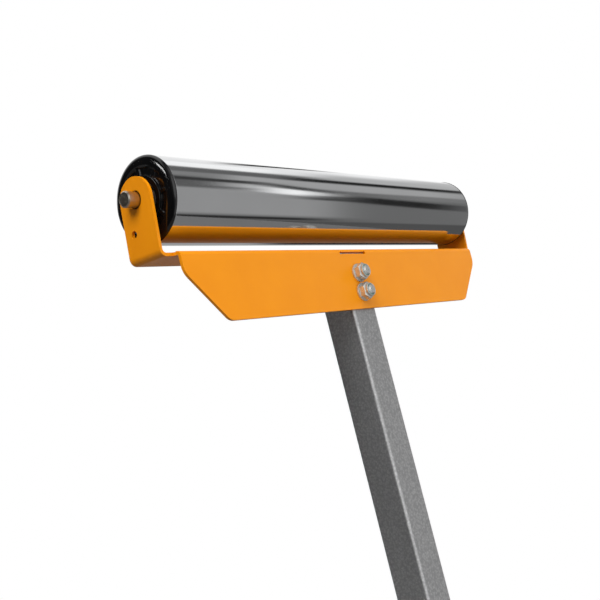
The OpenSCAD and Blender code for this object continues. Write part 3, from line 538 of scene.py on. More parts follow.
def gloss_black_abs(stand):
    """ABS from a polished mould: deep black with a clear gloss and a slight waviness that bends
    the highlights."""
    return moulded("polished_black_abs", 0.13, "060607", "0B0B0C", grain=6 * MM, depth=0.04 * MM, IOR=1.53)


def satin_black_plastic(stand):
    """Polypropylene from a spark-eroded mould: soft black with a fine even grain."""
    return moulded("grained_black_polypropylene", 0.46, "161617", "1D1D1E", grain=0.7 * MM,
                   depth=0.03 * MM, IOR=1.49)


def black_rubber(stand):
    """Moulded rubber: matt black, a little grey where dust holds in its grain."""
    return moulded("moulded_black_rubber", 0.78, "171717", "232322", grain=0.9 * MM, depth=0.05 * MM,
                   IOR=1.52)


FINISHES = {make.__name__: make for make in (
    chrome_plate, orange_powder_coat, grey_hammer_paint, zinc_plate, bright_steel, spring_steel,
    bearing_steel, cage_nylon, insert_nylon, brass, gloss_black_abs, satin_black_plastic, black_rubber)}
made_finishes = {}


def finish(slot):
    """The one material of a slot, made when it is first asked for."""
    if slot not in made_finishes:
        made_finishes[slot] = FINISHES[slot](bpy.context.scene.stand_finish)
    return made_finishes[slot]


# Sizes and colours that a user would change

class RollerSizes(bpy.types.PropertyGroup):
    """Small forms of the roller, its caps and its axle"""
    edge: length("Tube edge", "Round of the roller tube's ends", 0.35)
    tube_wall: length("Tube wall", "Wall of the roller tube", 1.8)
    rim: length("Cap rim", "Width of the round rim of an end cap", 6.5)
    ring: length("Cap ring", "Flat ring between the rim and the dished face", 1)
    dish: length("Cap dish", "Depth of the dished face", 2)
    rib: length("Rib thickness", "Thickness of a rib across the dished face", 2.2)
    rib_round: length("Rib round", "Width over which a rib falls to the face", 1)
    ribs: IntProperty(name="Ribs", description="Number of ribs on an end cap", default=8, min=3, max=24)
    hub_wall: length("Hub wall", "Wall of the hub round the bearing", 2)
    chamfer: length("Axle chamfer", "Chamfer at the ends of the axle", 1)
    neck: length("Clip groove", "Depth of a clip groove in the axle", 1)


class SheetSizes(bpy.types.PropertyGroup):
    """Rounds that paint and moulding leave on edges, and the weld beads"""
    paint_edge: length("Sheet edge", "Round of a painted sheet edge", 0.7)
    tube_edge: length("Tube edge", "Round of a painted tube end", 0.3)
    mould_edge: length("Moulded edge", "Round of a moulded edge", 0.6)
    rubber_edge: length("Rubber edge", "Round of a rubber edge", 1.2)
    weld: length("Weld bead", "Half width of a weld bead", 1.9)
    ripple: length("Weld ripple", "Spacing of the ripples on a weld bead", 2.4)


class FastenerSizes(bpy.types.PropertyGroup):
    """Proportions of the screws, in diameters of the bolt, and their threads"""
    flats: ratio("Flats", "Width across flats over the diameter", 1.625)
    collar: ratio("Collar", "Lock nut's collar over the diameter", 1.4)
    body: ratio("Nut body", "Height of a nut's hexagon over the diameter", 0.72)
    insert: ratio("Insert", "Nylon ring's outer diameter over the collar's", 0.86)
    chamfer: ratio("Chamfer", "Chamfer of a hexagon over the diameter", 0.06)
    pitch: length("Thread pitch", "Pitch of the bolts' threads", 1.25)


class FinishColours(bpy.types.PropertyGroup):
    """Colours of the painted and plated finishes"""
    chrome: colour("Chrome", "Reflection colour of the chrome plate", "DCDDDE")
    orange: colour("Orange", "Powder coat where it lies thick", "F8990C")
    orange_deep: colour("Deep orange", "Powder coat where it lies thin", "F4940A")
    hammer_light: colour("Hammertone light", "Light cells of the grey paint", "D2D2D2")
    hammer_dark: colour("Hammertone dark", "Dark cells of the grey paint", "B1B1B2")
    zinc: colour("Zinc", "Reflection colour of the zinc plate", "E2E3E0")
    steel: colour("Bright steel", "Reflection colour of the axle", "BDB5A8")
    hammer_cell: length("Hammertone cell", "Width of a cell in the grey paint", 2.1)
    grinding_pitch: length("Grinding lines", "Spacing of the rings on the chrome", 0.9)


class StudioLevels(bpy.types.PropertyGroup):
    """Lamps, surroundings and floor"""
    power: FloatProperty(name="Lamp power", description="Power of the strongest lamp", default=73,
                         unit="POWER")
    lamp_size: length("Lamp size", "Side of each square lamp", 1800)
    lamp_reach: length("Lamp distance", "Distance of each lamp from the roller", 3000)
    air: ratio("Surroundings", "Level of the even light all round", 0.13)
    floor: colour("Floor", "Colour of the floor", "E4E4E2")
    bounce: colour("Floor bounce", "How pale the floor is to the light that it throws back", "808080")
    floor_reach: length("Floor reach", "Radius of the floor", 1500)
    lens: FloatProperty(name="Lens", description="Focal length", default=55.39, unit="CAMERA")


# Roller

class STAND_OT_roller_tube(bpy.types.Operator):
    """Chromed tube, open at both ends, with its edges rounded. A row of points beside each round
    keeps the long wall's shading straight."""
    bl_idname = "stand.roller_tube"
    bl_label = "Roller tube"

    def execute(self, context):
        sizes = context.scene.stand_roller
        _, high = span(corners("roller_tube"), AXLE)
        outer, end, e = high[0], high[2], sizes.edge
        inner = outer - sizes.tube_wall
        profile = (arc((outer - e, end - e), e, 0, 90) + arc((inner + e, end - e), e, 90, 180)
                   + arc((inner + e, e - end), e, 180, 270) + arc((outer - e, e - end), e, 270, 360)
                   + [(outer, 3 * e - end), (outer, end - 3 * e)])
        build("chromed_roller_tube", [turned(profile, AXLE, steps=256, ring=True)], "roller",
              "chrome_plate", ["roller_tube"])
        return {"FINISHED"}


# Forms of an end cap: the lip over the bearing's pocket, its round, the wall of the plug, the
# thickness of the flange, and shares of the dish's depth
LIP_SHARE = 0.84
LIP_ROUND = 0.4 * MM
PLUG_WALL = 2.4 * MM
FLANGE = 1 * MM
SLOPE_SHARES = (0.5, 0.42)
RIB_SHARE = 0.45


def cap_profile(sizes, cap_r, face, tube_end, plug_end, plug_r, pocket_r, hub_end):
    """Outline of an end cap from its lip over the hub, dish, ring and rim to the plug, as (radius,
    distance along the axle). The rim is a quarter ellipse: the sine of an angle times its width
    out from the ring, and the cosine times its height out from the tube's end."""
    rim_at = np.linspace(0, pi / 2, 17)
    rim = list(zip(cap_r - sizes.rim * (1 - np.sin(rim_at)), tube_end + (face - tube_end) * np.cos(rim_at)))
    hub_r = pocket_r + sizes.hub_wall
    dish_r = cap_r - sizes.rim - sizes.ring
    lip, r, back = LIP_SHARE * pocket_r, LIP_ROUND, tube_end - FLANGE
    across, down = SLOPE_SHARES
    return (
        [(pocket_r, hub_end), (pocket_r, back), (lip, back), (lip, face - r)]
        + arc((lip + r, face - r), r, 180, 90, 4) + arc((hub_r - r, face - r), r, 90, 0, 4)
        + arc((hub_r + r, face - sizes.dish + r), r, 180, 270, 4)
        + list(zip(np.linspace(hub_r + 2 * r, dish_r - sizes.dish, 8), [face - sizes.dish] * 8))
        + [(dish_r - sizes.dish * across, face - sizes.dish * down), (dish_r, face)]
        + rim
        + [(plug_r, tube_end), (plug_r, plug_end), (plug_r - PLUG_WALL, plug_end),
           (plug_r - PLUG_WALL, back), (hub_r, back - FLANGE), (hub_r, hub_end)])


class STAND_OT_end_caps(bpy.types.Operator):
    """Moulded end caps: a turned form whose dished face carries ribs"""
    bl_idname = "stand.end_caps"
    bl_label = "End caps"

    def execute(self, context):
        sizes = context.scene.stand_roller
        _, tube = span(corners("roller_tube"), AXLE)
        for name, outwards in (("left", (-1, 0, 0)), ("right", ACROSS)):
            where = place(AXLE[:3, 3], outwards, UP_POST)
            low, high = span(corners("end_cap_" + name), where)
            start, race = span(corners("bearing_outer_" + name), where)
            profile = np.array(cap_profile(sizes, high[0], high[2], tube[2], low[2],
                                           tube[0] - sizes.tube_wall, race[0], start[2]))
            surface = self.ribbed(profile, where, sizes, high[0], high[2], race[0])
            build("moulded_end_cap_" + name, [surface], "roller", "gloss_black_abs",
                  ["end_cap_" + name], sharp_angle=40)
        return {"FINISHED"}

    def ribbed(self, profile, where, sizes, cap_r, face, pocket_r, steps=384):
        """Revolves the profile. Between hub and ring, the surface is lifted to about half the
        dish's depth wherever the distance to the nearest rib's middle line is less than half a
        rib, and falls away over the rib's round."""
        angle = round_angles(steps)
        radius, height = profile.T[:, :, None]
        sector = TURN / sizes.ribs
        off = np.abs((angle + sector / 2) % sector - sector / 2)
        gap = radius * np.sin(off) - sizes.rib / 2
        lift = np.clip(1 - gap / sizes.rib_round, 0, 1)
        lift = lift * lift * (3 - 2 * lift)
        hub_r = pocket_r + sizes.hub_wall
        dish_r = cap_r - sizes.rim - sizes.ring
        zone = (radius > hub_r) & (radius < dish_r) & (height > face - 1.5 * sizes.dish)
        lifted = np.maximum(height, face - sizes.dish * RIB_SHARE)
        height = np.where(zone, height + (lifted - height) * lift, height + 0 * angle)
        return quads(into(where, polar(radius, angle, height)), close_rows=True)


class STAND_OT_axle(bpy.types.Operator):
    """Fixed axle with clip grooves and chamfered ends, its clips and its spacers"""
    bl_idname = "stand.axle"
    bl_label = "Axle, clips and spacers"

    def execute(self, context):
        sizes = context.scene.stand_roller
        dent, burr, play = 0.15 * MM, 0.1 * MM, 0.05 * MM
        _, high = span(corners("axle"), AXLE)
        r, end, c = high[0], high[2], sizes.chamfer
        clips = [span(points, AXLE) for points in solids("axle_clips")]
        groove_end = max(high[2] for _, high in clips) + play
        groove_start = max(low[2] for low, _ in clips) - play
        half = [(r - c, end - dent), (r - c + burr, end), (r, end - c), (r, groove_end),
                (r - sizes.neck, groove_end), (r - sizes.neck, groove_start), (r, groove_start)]
        profile = [(0, end - dent)] + half + [(radius, -height) for radius, height in half[::-1]]
        profile += [(0, dent - end)]
        build("turned_axle", [turned(profile, AXLE, steps=128)], "head", "bright_steel", ["axle"])
        rounded_copy("axle_clips", "spring_steel", CLIP_EDGE, segments=2)
        rounded_copy("axle_spacers", "zinc_plate", SPACER_EDGE, segments=2)
        return {"FINISHED"}


class STAND_OT_bearings(bpy.types.Operator):
    """Ball bearings inside the caps: rings, balls and cages"""
    bl_idname = "stand.bearings"
    bl_label = "Bearings"

    def execute(self, context):
        for side in ("left", "right"):
            for part in ("inner", "outer", "balls"):
                finish_node(f"bearing_{part}_{side}", "bearing_steel")
            finish_node("bearing_cage_" + side, "cage_nylon")
        return {"FINISHED"}


# Head and posts

class STAND_OT_head_bracket(bpy.types.Operator):
    """Bent sheet with two ears, a web and a lower panel"""
    bl_idname = "stand.head_bracket"
    bl_label = "Head bracket"

    def execute(self, context):
        rounded_copy("head_bracket", "orange_powder_coat", context.scene.stand_sheet.paint_edge)
        return {"FINISHED"}


class STAND_OT_posts(bpy.types.Operator):
    """Square tubes: the sliding inner post, the outer post, the rear leg and both crossbars"""
    bl_idname = "stand.posts"
    bl_label = "Square tubes"

    def execute(self, context):
        edge = context.scene.stand_sheet.tube_edge
        for node in ("inner_post", "outer_post", "rear_leg", "rear_crossbar", "front_crossbar"):
            rounded_copy(node, "grey_hammer_paint", edge, segments=2)
        return {"FINISHED"}


class STAND_OT_plastic_fittings(bpy.types.Operator):
    """Collar, glide and plugs of the tubes"""
    bl_idname = "stand.plastic_fittings"
    bl_label = "Plastic fittings"

    def execute(self, context):
        edge = context.scene.stand_sheet.mould_edge
        for node in ("post_collar", "inner_post_glide", "post_end_plug", "leg_top_plug"):
            rounded_copy(node, "satin_black_plastic", edge)
        return {"FINISHED"}


# Fasteners

# A bolt head's height over the diameter, the share of a nut's hexagon at which its collar starts,
# the taper of a bolt's end, and the play and the round of a nylon ring
HEAD_SHARE = 0.66
COLLAR_SHARE = 0.6
BOLT_TAPER = 0.9 * MM
RING_PLAY = 0.05 * MM
RING_ROUND = 0.25 * MM


def bolt_size(low, high, sizes):
    """Diameter of the bolt that goes with a hexagon, from its width across corners: half of it
    times the root of 3 is the width across flats."""
    return max(high[0] - low[0], high[1] - low[1]) / 2 * sqrt(3) / sizes.flats


def bolt(name, node, points, where, body, sizes, thread_from):
    """Hexagon bolt along the place's Z with its head low, a plain shank and a threaded end."""
    low, high = span(points, where)
    centre = (low + high) / 2
    d = bolt_size(low, high, sizes)
    head_h = HEAD_SHARE * d
    base = moved(where, centre[0], centre[1], low[2] + head_h)
    down = place(base[:3, 3], -base[:3, 2], base[:3, 0])
    shank = high[2] - low[2] - head_h
    plain = thread_from - low[2] - head_h
    build(name, [
        hexagon(sizes.flats * d, head_h, down, sizes.chamfer * d),
        turned([(0, 0), (d / 2, 0), (d / 2, plain), (0, plain)], base, steps=48),
        thread(d / 2, sizes.pitch, shank - plain, moved(base, z=plain), BOLT_TAPER),
    ], body, "zinc_plate", [node], sharp_angle=30)


def lock_nut(name, node, points, where, body, sizes):
    """Lock nut from the place's origin up Z: chamfered hexagon, and a collar rolled over its
    nylon ring."""
    low, high = span(points, where)
    centre = (low + high) / 2
    d = bolt_size(low, high, sizes)
    seat = moved(where, centre[0], centre[1], low[2])
    body_h, full_h = sizes.body * d, high[2] - low[2]
    collar_r = sizes.collar * d / 2
    ring_r = sizes.insert * collar_r
    roll = (collar_r - ring_r) / 2
    collar = ([(ring_r, body_h * COLLAR_SHARE), (collar_r, body_h * COLLAR_SHARE)]
              + arc((collar_r - roll, full_h - roll), roll, 0, 180))
    build(name, [
        hexagon(sizes.flats * d, body_h, seat, sizes.chamfer * d),
        turned(collar, seat, steps=64, ring=True),
    ], body, "zinc_plate", [node], sharp_angle=30)
    bore, r = d / 2 + RING_PLAY, RING_ROUND
    top = full_h - roll - r
    ring = ([(bore, body_h), (ring_r, body_h)] + arc((ring_r - r, top), r, 0, 90, 4)
            + arc((bore + r, top), r, 90, 180, 4))
    return build(name + "_ring", [turned(ring, seat, steps=64, ring=True)], body, "insert_nylon")


class STAND_OT_head_fasteners(bpy.types.Operator):
    """The two bolts that hold the bracket to the inner post, with washers and lock nuts"""
    bl_idname = "stand.head_fasteners"
    bl_label = "Head fasteners"

    def execute(self, context):
        sizes = context.scene.stand_fastener
        where = place(HEAD[:3, 3], -HEAD[:3, 1])
        nuts, bolts = (sorted(solids(node), key=lambda points: span(points, where)[0][1])
                       for node in ("head_nuts", "head_bolts"))
        for name, nut, screw in zip(("upper", "lower"), nuts, bolts):
            low, _ = span(nut, where)
            bolt(name + "_head_bolt", "head_bolts", screw, where, "head", sizes, low[2])
            lock_nut(name + "_head_nut", "head_nuts", nut, where, "head", sizes)
        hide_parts("nut_inserts")
        rounded_copy("head_washers", "zinc_plate", WASHER_EDGE, segments=2)
        return {"FINISHED"}


class STAND_OT_frame_fasteners(bpy.types.Operator):
    """The hinge, stay, slide and foot bolts with their lock nuts, washers, spacers and bushes"""
    bl_idname = "stand.frame_fasteners"
    bl_label = "Frame fasteners"

    def execute(self, context):
        sizes = context.scene.stand_fastener
        across = place((0, 0, 0), ACROSS, UP_POST)
        back = place((0, 0, 0), POST[:3, 1])
        for name, body, where in (("hinge", "mast", across), ("stay", "leg", across),
                                  ("slide", "stay", across), ("foot", "mast", back)):
            screw, nut = name + "_bolt", name + "_nut"
            steel = max(solids(nut), key=lambda points: np.ptp(out_of(where, points)[:, 0]))
            low, _ = span(steel, where)
            bolt(name + "_hexagon_bolt", screw, corners(screw), where, body, sizes, low[2])
            lock_nut(name + "_lock_nut", nut, corners(nut), where, body, sizes)
        for node in ("foot_washer", "hinge_bush", "stay_spacers", "crossbar_bush"):
            rounded_copy(node, "zinc_plate", WASHER_EDGE, segments=2)
        return {"FINISHED"}


# Height clamp

class STAND_OT_height_clamp(bpy.types.Operator):
    """Clamp screw with its welded nut, brass pad and lobed knob"""
    bl_idname = "stand.height_clamp"
    bl_label = "Height clamp"

    def execute(self, context):
        pitch, taper, neck, neck_share = 1.5 * MM, 0.8 * MM, 3.1 * MM, 0.6
        low, high = span(corners("clamp_screw"), CLAMP)
        r = high[0]
        neck_r = neck_share * r
        tip = moved(CLAMP, z=low[2])
        build("clamp_stud", [
            turned([(0, 0), (neck_r, 0), (neck_r, neck), (0, neck)], tip, steps=48),
            thread(r, pitch, high[2] - low[2] - neck, moved(tip, z=neck), taper),
        ], "clamp_handle", "zinc_plate", ["clamp_screw"], sharp_angle=30)
        rounded_copy("clamp_nut", "grey_hammer_paint", WELD_NUT_EDGE)
        rounded_copy("clamp_pad", "brass", PAD_EDGE, segments=2)
        self.knob()
        return {"FINISHED"}

    def knob(self, lobes=5, steps=240):
        """Lobed knob. At each angle the edge is the outer of the core circle and the nearest lobe
        circle, seen from the centre, blended by a high power mean. Rows of (added radius, share
        of the edge, height) carry it from the hub over a rounded rim to the dome."""
        soft, hub_h, hub_r, bore, step, power = 3 * MM, 8 * MM, 11 * MM, 5.05 * MM, 0.4 * MM, 12
        lobe_share, core_share, head_share = 0.44, 0.72, 1.15
        low, high = span(corners("clamp_knob"), CLAMP)
        reach = np.linalg.norm(out_of(CLAMP, corners("clamp_knob"))[:, :2], axis=1).max()
        lobe_r, core_r = lobe_share * reach, core_share * reach
        lobe_at = reach - lobe_r
        angle = round_angles(steps)
        sector = TURN / lobes
        off = (angle + sector / 2) % sector - sector / 2
        room = np.clip(lobe_r ** 2 - (lobe_at * np.sin(off)) ** 2, 0, None)
        lobe = np.where(room > 0, lobe_at * np.cos(off) + np.sqrt(room), 0)
        edge = (lobe ** power + core_r ** power) ** (1 / power)
        edge *= reach / edge.max()
        full_h = high[2] - low[2]
        top = hub_h + (full_h - hub_h) / head_share
        rows = [(bore, 0, hub_h), (bore, 0, 0), (hub_r - MM, 0, 0), (hub_r, 0, MM),
                (hub_r, 0, hub_h - step), (hub_r + MM, 0, hub_h)]
        bend = np.linspace(0, pi / 2, 8)
        rows += [(0, 1 - soft * (1 - sin(a)) / reach, hub_h + soft * (1 - cos(a))) for a in bend]
        rows += [(0, 1 - soft * (1 - cos(a)) / reach, top - soft * (1 - sin(a))) for a in bend]
        rows += [(core_r * t, 0, top + (full_h - top) * (1 - t * t)) for t in np.linspace(0.95, 0.02, 10)]
        rows += [(0, 0, full_h)]
        grid = np.array([polar(added + share * edge, angle, h) for added, share, h in rows])
        grid = np.concatenate([grid[:1] * [0, 0, 1], grid])
        build("lobed_knob", [quads(into(moved(CLAMP, z=low[2]), grid))], "clamp_handle",
              "satin_black_plastic", ["clamp_knob"], sharp_angle=50)


# Hinge, stay and feet

class STAND_OT_folding_gear(bpy.types.Operator):
    """Hinge bracket, slotted guide, stay bars and the saddle of the front foot"""
    bl_idname = "stand.folding_gear"
    bl_label = "Folding gear"

    def execute(self, context):
        edge = context.scene.stand_sheet.paint_edge
        for node in ("hinge_bracket", "slide_guide", "stay_bar_left", "stay_bar_right", "foot_saddle"):
            rounded_copy(node, "orange_powder_coat", edge)
        return {"FINISHED"}


class STAND_OT_foot_caps(bpy.types.Operator):
    """Rubber caps over the ends of both crossbars"""
    bl_idname = "stand.foot_caps"
    bl_label = "Foot caps"

    def execute(self, context):
        edge = context.scene.stand_sheet.rubber_edge
        for end in ("front", "rear"):
            for side in ("left", "right"):
                rounded_copy(f"{end}_cap_{side}", "black_rubber", edge)
        return {"FINISHED"}


class STAND_OT_welds(bpy.types.Operator):
    """Weld beads where bracket, guide, saddle, nut and leg meet their tubes"""
    bl_idname = "stand.welds"
    bl_label = "Weld beads"

    def execute(self, context):
        sizes = context.scene.stand_sheet
        post_low, post_high = span(corners("outer_post"), POST)
        beads = []
        for node, count in (("hinge_bracket", 1), ("slide_guide", 3)):
            low, high = span(corners(node), POST)
            x, y = post_high[0] - 0.7 * MM, post_high[1] - 0.5 * MM
            cuts = np.linspace(low[2] + 3 * MM, high[2] - 3 * MM, 2 * count)
            for start, end in cuts.reshape(-1, 2):
                beads += self.pair((x, y, start), (x, y, end), POST, sizes)
        build("bracket_welds", beads, "mast", "grey_hammer_paint")
        low, high = span(corners("foot_saddle"), POST)
        x, y = post_high[0] - 0.4 * MM, post_low[1] + 0.6 * MM
        beads = self.pair((x, y, low[2] + 4 * MM), (x, y, high[2] - 4 * MM), POST, sizes)
        build("saddle_welds", beads, "mast", "grey_hammer_paint")
        _, nut = span(corners("clamp_nut"), CLAMP)
        loop = into(CLAMP, polar(nut[0], round_angles(120), 0))
        build("nut_weld", [bead(loop, 0.8 * sizes.weld, sizes.ripple, closed=True)], "mast",
              "grey_hammer_paint")
        low, high = span(corners("rear_leg"), LEG)
        beads = self.pair((high[0], -high[0], low[2]), (high[0], high[0], low[2]), LEG, sizes)
        build("leg_welds", beads, "leg", "grey_hammer_paint")
        return {"FINISHED"}

    def pair(self, start, end, where, sizes):
        """The same straight bead on the left and the right, with six points to a ripple."""
        return [bead(straight((side * start[0], *start[1:]), (side * end[0], *end[1:]), where,
                              sizes.ripple / 6), sizes.weld, sizes.ripple) for side in (-1, 1)]


# Stage

def tent(tree, direction):
    """Light tent that shiny surfaces see. The angle round the roller's axis runs from 0 at the
    front over 90 above to 180 behind, and share is how far a direction leans to the right along
    the roller. Each band, and then each round panel, mixes its level over the ones before it."""
    parts = add_node(tree, "ShaderNodeSeparateXYZ", {0: direction})
    front = add_node(tree, "ShaderNodeMath", {0: parts.outputs[1], 1: -1.0}, operation="MULTIPLY")
    turn = add_node(tree, "ShaderNodeMath", {0: parts.outputs[2], 1: front.outputs[0]}, operation="ARCTAN2")
    angle = add_node(tree, "ShaderNodeMath", {0: turn.outputs[0]}, operation="DEGREES").outputs[0]
    share = parts.outputs[0]
    level = TENT_LEVEL
    for _, strength, middle, tilt, half, soft, start, end in TENT_BANDS:
        middle_at = add_node(tree, "ShaderNodeMath", {0: share, 1: tilt, 2: middle - tilt * TENT_SHARE},
                             operation="MULTIPLY_ADD")
        away = add_node(tree, "ShaderNodeMath", {0: angle, 1: middle_at.outputs[0]}, operation="SUBTRACT")
        gap = add_node(tree, "ShaderNodeMath", {0: away.outputs[0]}, operation="ABSOLUTE")
        inside = soft_edge(tree, gap.outputs[0], half + soft, half)
        after = soft_edge(tree, share, start - TENT_FADE, start + TENT_FADE)
        before = soft_edge(tree, share, end + TENT_FADE, end - TENT_FADE)
        mask = add_node(tree, "ShaderNodeMath", {0: after, 1: before}, operation="MULTIPLY")
        mask = add_node(tree, "ShaderNodeMath", {0: mask.outputs[0], 1: inside}, operation="MULTIPLY")
        level = add_node(tree, "ShaderNodeMix", {0: mask.outputs[0], 2: level, 3: strength}).outputs[0]
    for _, strength, towards, half, soft in TENT_PANELS:
        middle = tuple(np.array(towards) / np.linalg.norm(towards))
        near = add_node(tree, "ShaderNodeVectorMath", {0: direction, 1: middle}, operation="DOT_PRODUCT")
        inside = soft_edge(tree, near.outputs["Value"], cos(radians(half + soft)), cos(radians(half)))
        level = add_node(tree, "ShaderNodeMix", {0: inside, 2: level, 3: strength}).outputs[0]
    return level


def soft_edge(tree, value, start, end):
    """Runs from 0 at start to 1 at end with a soft beginning and end."""
    return add_node(tree, "ShaderNodeMapRange", {"Value": value, "From Min": start, "From Max": end},
                    interpolation_type="SMOOTHSTEP").outputs[0]


TENT_LEVEL = 0.18
TENT_SHARE = 0.76
TENT_FADE = 0.02
# Name, level, middle angle, tilt per share, half width, softness, first share, last share
TENT_BANDS = (
    ("white back", 1.0, 190, 0, 80, 14, -1, 2),
    ("low back", 0.25, -150, 0, 31, 10, -1, 0.6),
    ("low back right", 0.4, -150, 0, 31, 10, 0.6, 2),
    # Painted shade: a near-black band in the surroundings that shiny surfaces see, below and behind the
    # roller, standing in for the shade on the web under it
    ("under roller", 0.03, -146, 0, 8, 4, 0.735, 0.87),
    ("top strip", 1.2, 113, 0, 7, 6, -1, 0.735),
    ("grey top right", 0.62, 130, 0, 4, 22, 0.825, 0.87),
    ("grey top", 0.55, 104, 0, 7, 26, 0.77, 0.87),
    ("seam behind", 0.05, 157, 250, 6, 8, 0.705, 0.775),
    ("front panel", 0.46, 69, -50, 9, 8, 0.70, 0.87),
    ("left panel", 0.28, 77, 0, 3, 7, -1, 0.70),
    ("right panel", 0.24, 47, 0, 4, 9, 0.82, 0.87),
    ("gap above", 0.02, 87.5, 0, 3, 7, 0.745, 0.87),
    ("left gap above", 0.15, 91, 0, 3, 7, -1, 0.745),
    ("left sky", 0.37, 4, 0, 29, 10, -0.5, 0.785),
    ("left shade", 0.13, 49, 0, 7, 8, -1, 0.70),
    ("left lens", 0.56, 51, 0, 3, 6, 0.705, 0.735),
    ("lens", 1.3, 39, -200, 6, 5, 0.735, 0.775),
    ("left gap in front", 0.05, 62, 0, 2, 5, -1, 0.735),
    ("gap in front", 0.04, 54, -300, 2, 5, 0.735, 0.775),
    ("dark wedge", 0.0, 28, 0, 4, 6, 0.765, 0.79),
    ("right dark wedge", 0.02, 38, -200, 7, 7, 0.79, 0.86),
    ("gap below", 0.03, -38, 0, 1.5, 4, -1, 0.775),
    ("far left sky", 0.8, 20, 0, 50, 15, -0.5, 0.58),
    ("far right sky", 0.6, 20, 0, 65, 15, 0.885, 2),
    ("floor shade", 0.1, -70, 0, 24, 6, -1, 2),
)
# Name, level, direction of the middle, half angle, softness
TENT_PANELS = (
    ("key panel", 1.3, (-0.6, -0.66, 0.46), 20, 6),
    ("dark flag", 0.03, (-0.77, 0.63, 0.1), 38, 10),
    ("low flag", 0.03, (-0.93, 0, -0.36), 26, 10),
    ("strip lamp top", 17, (-0.75, 0.53, 0.4), 2, 3),
    ("strip lamp end", 17, (-0.82, 0.4, 0.41), 2, 3),
)
# Name, direction from the roller, share of the strongest lamp's power
LAMPS = (
    ("front_lamp", (0.05, -0.98, 0.17), 0.47),
    ("left_lamp", (-0.75, -0.15, 0.64), 1.0),
    ("top_lamp", (0, -0.1, 1), 0.64),
    ("right_lamp", (0.93, -0.25, 0.28), 0.26),
    ("back_lamp", (0.35, 0.93, 0.05), 0.18),
)
# Camera of the photograph: its place from the middle of the roller, its dip and turn in degrees
CAMERA_FROM_ROLLER = (-0.63107, -0.51517, -0.03053)
CAMERA_DIP = 3.522
CAMERA_TURN = -49.492
SENSOR = 36
NEAR, FAR = 0.05, 50
# The floor: how far it lies below the feet, its grain, and the shares of its reach where it fades
FLOOR_DROP = 0.2 * MM
FLOOR_GRAIN = 4 * MM
FADE_START, FADE_END = 0.45, 0.93


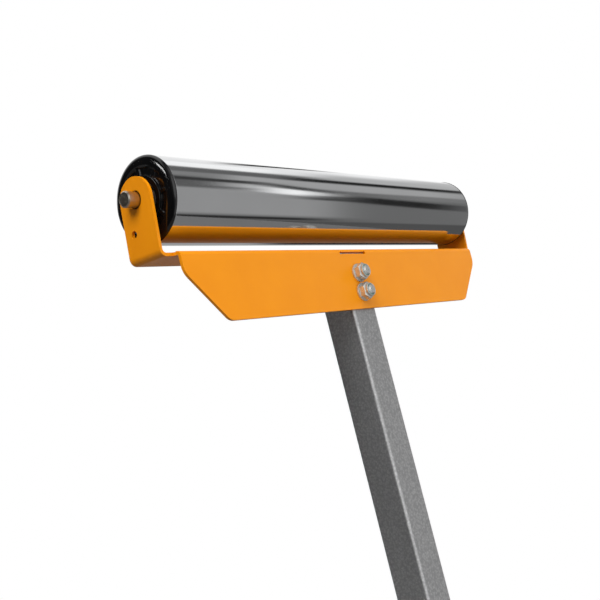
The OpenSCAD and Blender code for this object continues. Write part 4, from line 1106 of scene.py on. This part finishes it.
class STAND_OT_stage(bpy.types.Operator):
    """Camera, lamps, surroundings and a pale floor that fades to white"""
    bl_idname = "stand.stage"
    bl_label = "Stage"

    def execute(self, context):
        levels = context.scene.stand_studio
        scene = context.scene
        scene.view_settings.view_transform = "Standard"
        self.camera(scene, levels)
        for name, direction, share in LAMPS:
            self.lamp(name, direction, levels, share)
        self.surroundings(scene, levels)
        self.floor(levels)
        return {"FINISHED"}

    def camera(self, scene, levels):
        """Level camera of the photograph, placed from the middle of the roller."""
        data = bpy.data.cameras.new("camera")
        data.sensor_width = SENSOR
        data.lens = levels.lens
        data.clip_start, data.clip_end = NEAR, FAR
        camera = bpy.data.objects.new("camera", data)
        camera.location = AXLE[:3, 3] + np.array(CAMERA_FROM_ROLLER)
        camera.rotation_euler = (radians(90 - CAMERA_DIP), 0, radians(CAMERA_TURN))
        scene.collection.objects.link(camera)
        scene.camera = camera

    def lamp(self, name, direction, levels, share):
        """Square soft lamp aimed at the roller, left out of mirror reflections."""
        data = bpy.data.lights.new(name, "AREA")
        data.size = levels.lamp_size
        data.energy = levels.power * share
        lamp = bpy.data.objects.new(name, data)
        out = np.array(direction) / np.linalg.norm(direction)
        lamp.matrix_world = Matrix(place(AXLE[:3, 3] + levels.lamp_reach * out, out).tolist())
        lamp.visible_glossy = False
        bpy.context.scene.collection.objects.link(lamp)

    def surroundings(self, scene, levels):
        """White for the camera, the tent for shiny surfaces that are seen, and an even level for
        the light that matt surfaces gather, straight or by way of a mirror."""
        world = bpy.data.worlds.new("surroundings")
        scene.world = world
        world.use_nodes = True
        tree = world.node_tree
        tree.nodes.clear()
        direction = add_node(tree, "ShaderNodeTexCoord").outputs["Generated"]
        rays = add_node(tree, "ShaderNodeLightPath").outputs
        seen = tent(tree, direction)
        in_sight = add_node(tree, "ShaderNodeMath", {0: rays["Diffuse Depth"], 1: 0.5}, operation="LESS_THAN")
        mirrored = add_node(tree, "ShaderNodeMath", {0: rays["Is Glossy Ray"], 1: in_sight.outputs[0]},
                            operation="MULTIPLY").outputs[0]
        level = add_node(tree, "ShaderNodeMix", {0: mirrored, 2: levels.air, 3: seen}).outputs[0]
        clear = add_node(tree, "ShaderNodeMath", {0: rays["Is Camera Ray"], 1: rays["Is Transmission Ray"]},
                         operation="MAXIMUM").outputs[0]
        level = add_node(tree, "ShaderNodeMix", {0: clear, 2: level, 3: 1.0}).outputs[0]
        light = add_node(tree, "ShaderNodeBackground", {"Color": (1, 1, 1, 1), "Strength": level})
        add_node(tree, "ShaderNodeOutputWorld", {"Surface": light.outputs[0]})

    def floor(self, levels):
        """Round floor: a disc of rings about the origin, pale near the stand and as white as the
        background at its rim. It throws back less light than it shows, as a dark table would."""
        reach = levels.floor_reach
        ground = place((0, 0, -FLOOR_DROP), (0, 0, 1))
        disc = turned([(0, 0), (reach / 2, 0), (reach, 0), (reach, -MM), (0, -MM)], ground, steps=128)
        mesh = mesh_of("floor", [disc])
        floor = bpy.data.objects.new("floor", mesh)
        bpy.context.scene.collection.objects.link(floor)
        material = bpy.data.materials.new("matt_white_floor")
        material.use_nodes = True
        tree = material.node_tree
        tree.nodes.clear()
        here = add_node(tree, "ShaderNodeTexCoord").outputs["Object"]
        far = add_node(tree, "ShaderNodeVectorMath", {0: here}, operation="LENGTH").outputs["Value"]
        grain = noise_on(tree, here, FLOOR_GRAIN, 3)
        tint = two_tones(tree, grain, levels.floor, dimmed(levels.floor, 0.97))
        seen = add_node(tree, "ShaderNodeLightPath").outputs["Is Camera Ray"]
        shown = add_node(tree, "ShaderNodeMix", {"Factor": seen, 6: (*levels.bounce, 1), 7: tint},
                         data_type="RGBA")
        matt = add_node(tree, "ShaderNodeBsdfDiffuse", {"Color": shown.outputs[2]}).outputs[0]
        glow = add_node(tree, "ShaderNodeEmission", {"Color": (1, 1, 1, 1), "Strength": 1.0}).outputs[0]
        fade = soft_edge(tree, far, FADE_START * reach, FADE_END * reach)
        share = add_node(tree, "ShaderNodeMath", {0: seen, 1: fade}, operation="MULTIPLY").outputs[0]
        mix = add_node(tree, "ShaderNodeMixShader", {0: share, 1: matt, 2: glow})
        add_node(tree, "ShaderNodeOutputMaterial", {"Surface": mix.outputs[0]})
        mesh.materials.append(material)


class STAND_PT_sidebar(bpy.types.Panel):
    """Operators and sizes of the roller stand"""
    bl_idname = "STAND_PT_sidebar"
    bl_label = "Roller Stand"
    bl_space_type = "VIEW_3D"
    bl_region_type = "UI"
    bl_category = "Roller Stand"

    def draw(self, context):
        for operator in OPERATORS:
            self.layout.operator(operator.bl_idname)
        for name in GROUPS:
            box = self.layout.box()
            group = getattr(context.scene, name)
            for key in group.bl_rna.properties.keys():
                if key not in ("rna_type", "name"):
                    box.prop(group, key)


GROUPS = {"stand_roller": RollerSizes, "stand_sheet": SheetSizes, "stand_fastener": FastenerSizes,
          "stand_finish": FinishColours, "stand_studio": StudioLevels}
OPERATORS = (
    STAND_OT_roller_tube, STAND_OT_end_caps, STAND_OT_axle, STAND_OT_bearings, STAND_OT_head_bracket,
    STAND_OT_posts, STAND_OT_plastic_fittings, STAND_OT_head_fasteners, STAND_OT_frame_fasteners,
    STAND_OT_height_clamp, STAND_OT_folding_gear, STAND_OT_foot_caps, STAND_OT_welds, STAND_OT_stage)


def register():
    for kind in (*GROUPS.values(), *OPERATORS, STAND_PT_sidebar):
        bpy.utils.register_class(kind)
    for name, group in GROUPS.items():
        setattr(bpy.types.Scene, name, PointerProperty(type=group))


def unregister():
    for name in GROUPS:
        delattr(bpy.types.Scene, name)
    for kind in (STAND_PT_sidebar, *reversed(OPERATORS), *reversed(GROUPS.values())):
        bpy.utils.unregister_class(kind)


def main():
    """Builds every piece in order."""
    register()
    for operator in OPERATORS:
        group, name = operator.bl_idname.split(".")
        getattr(getattr(bpy.ops, group), name)()


if __name__ == "__main__":
    main()
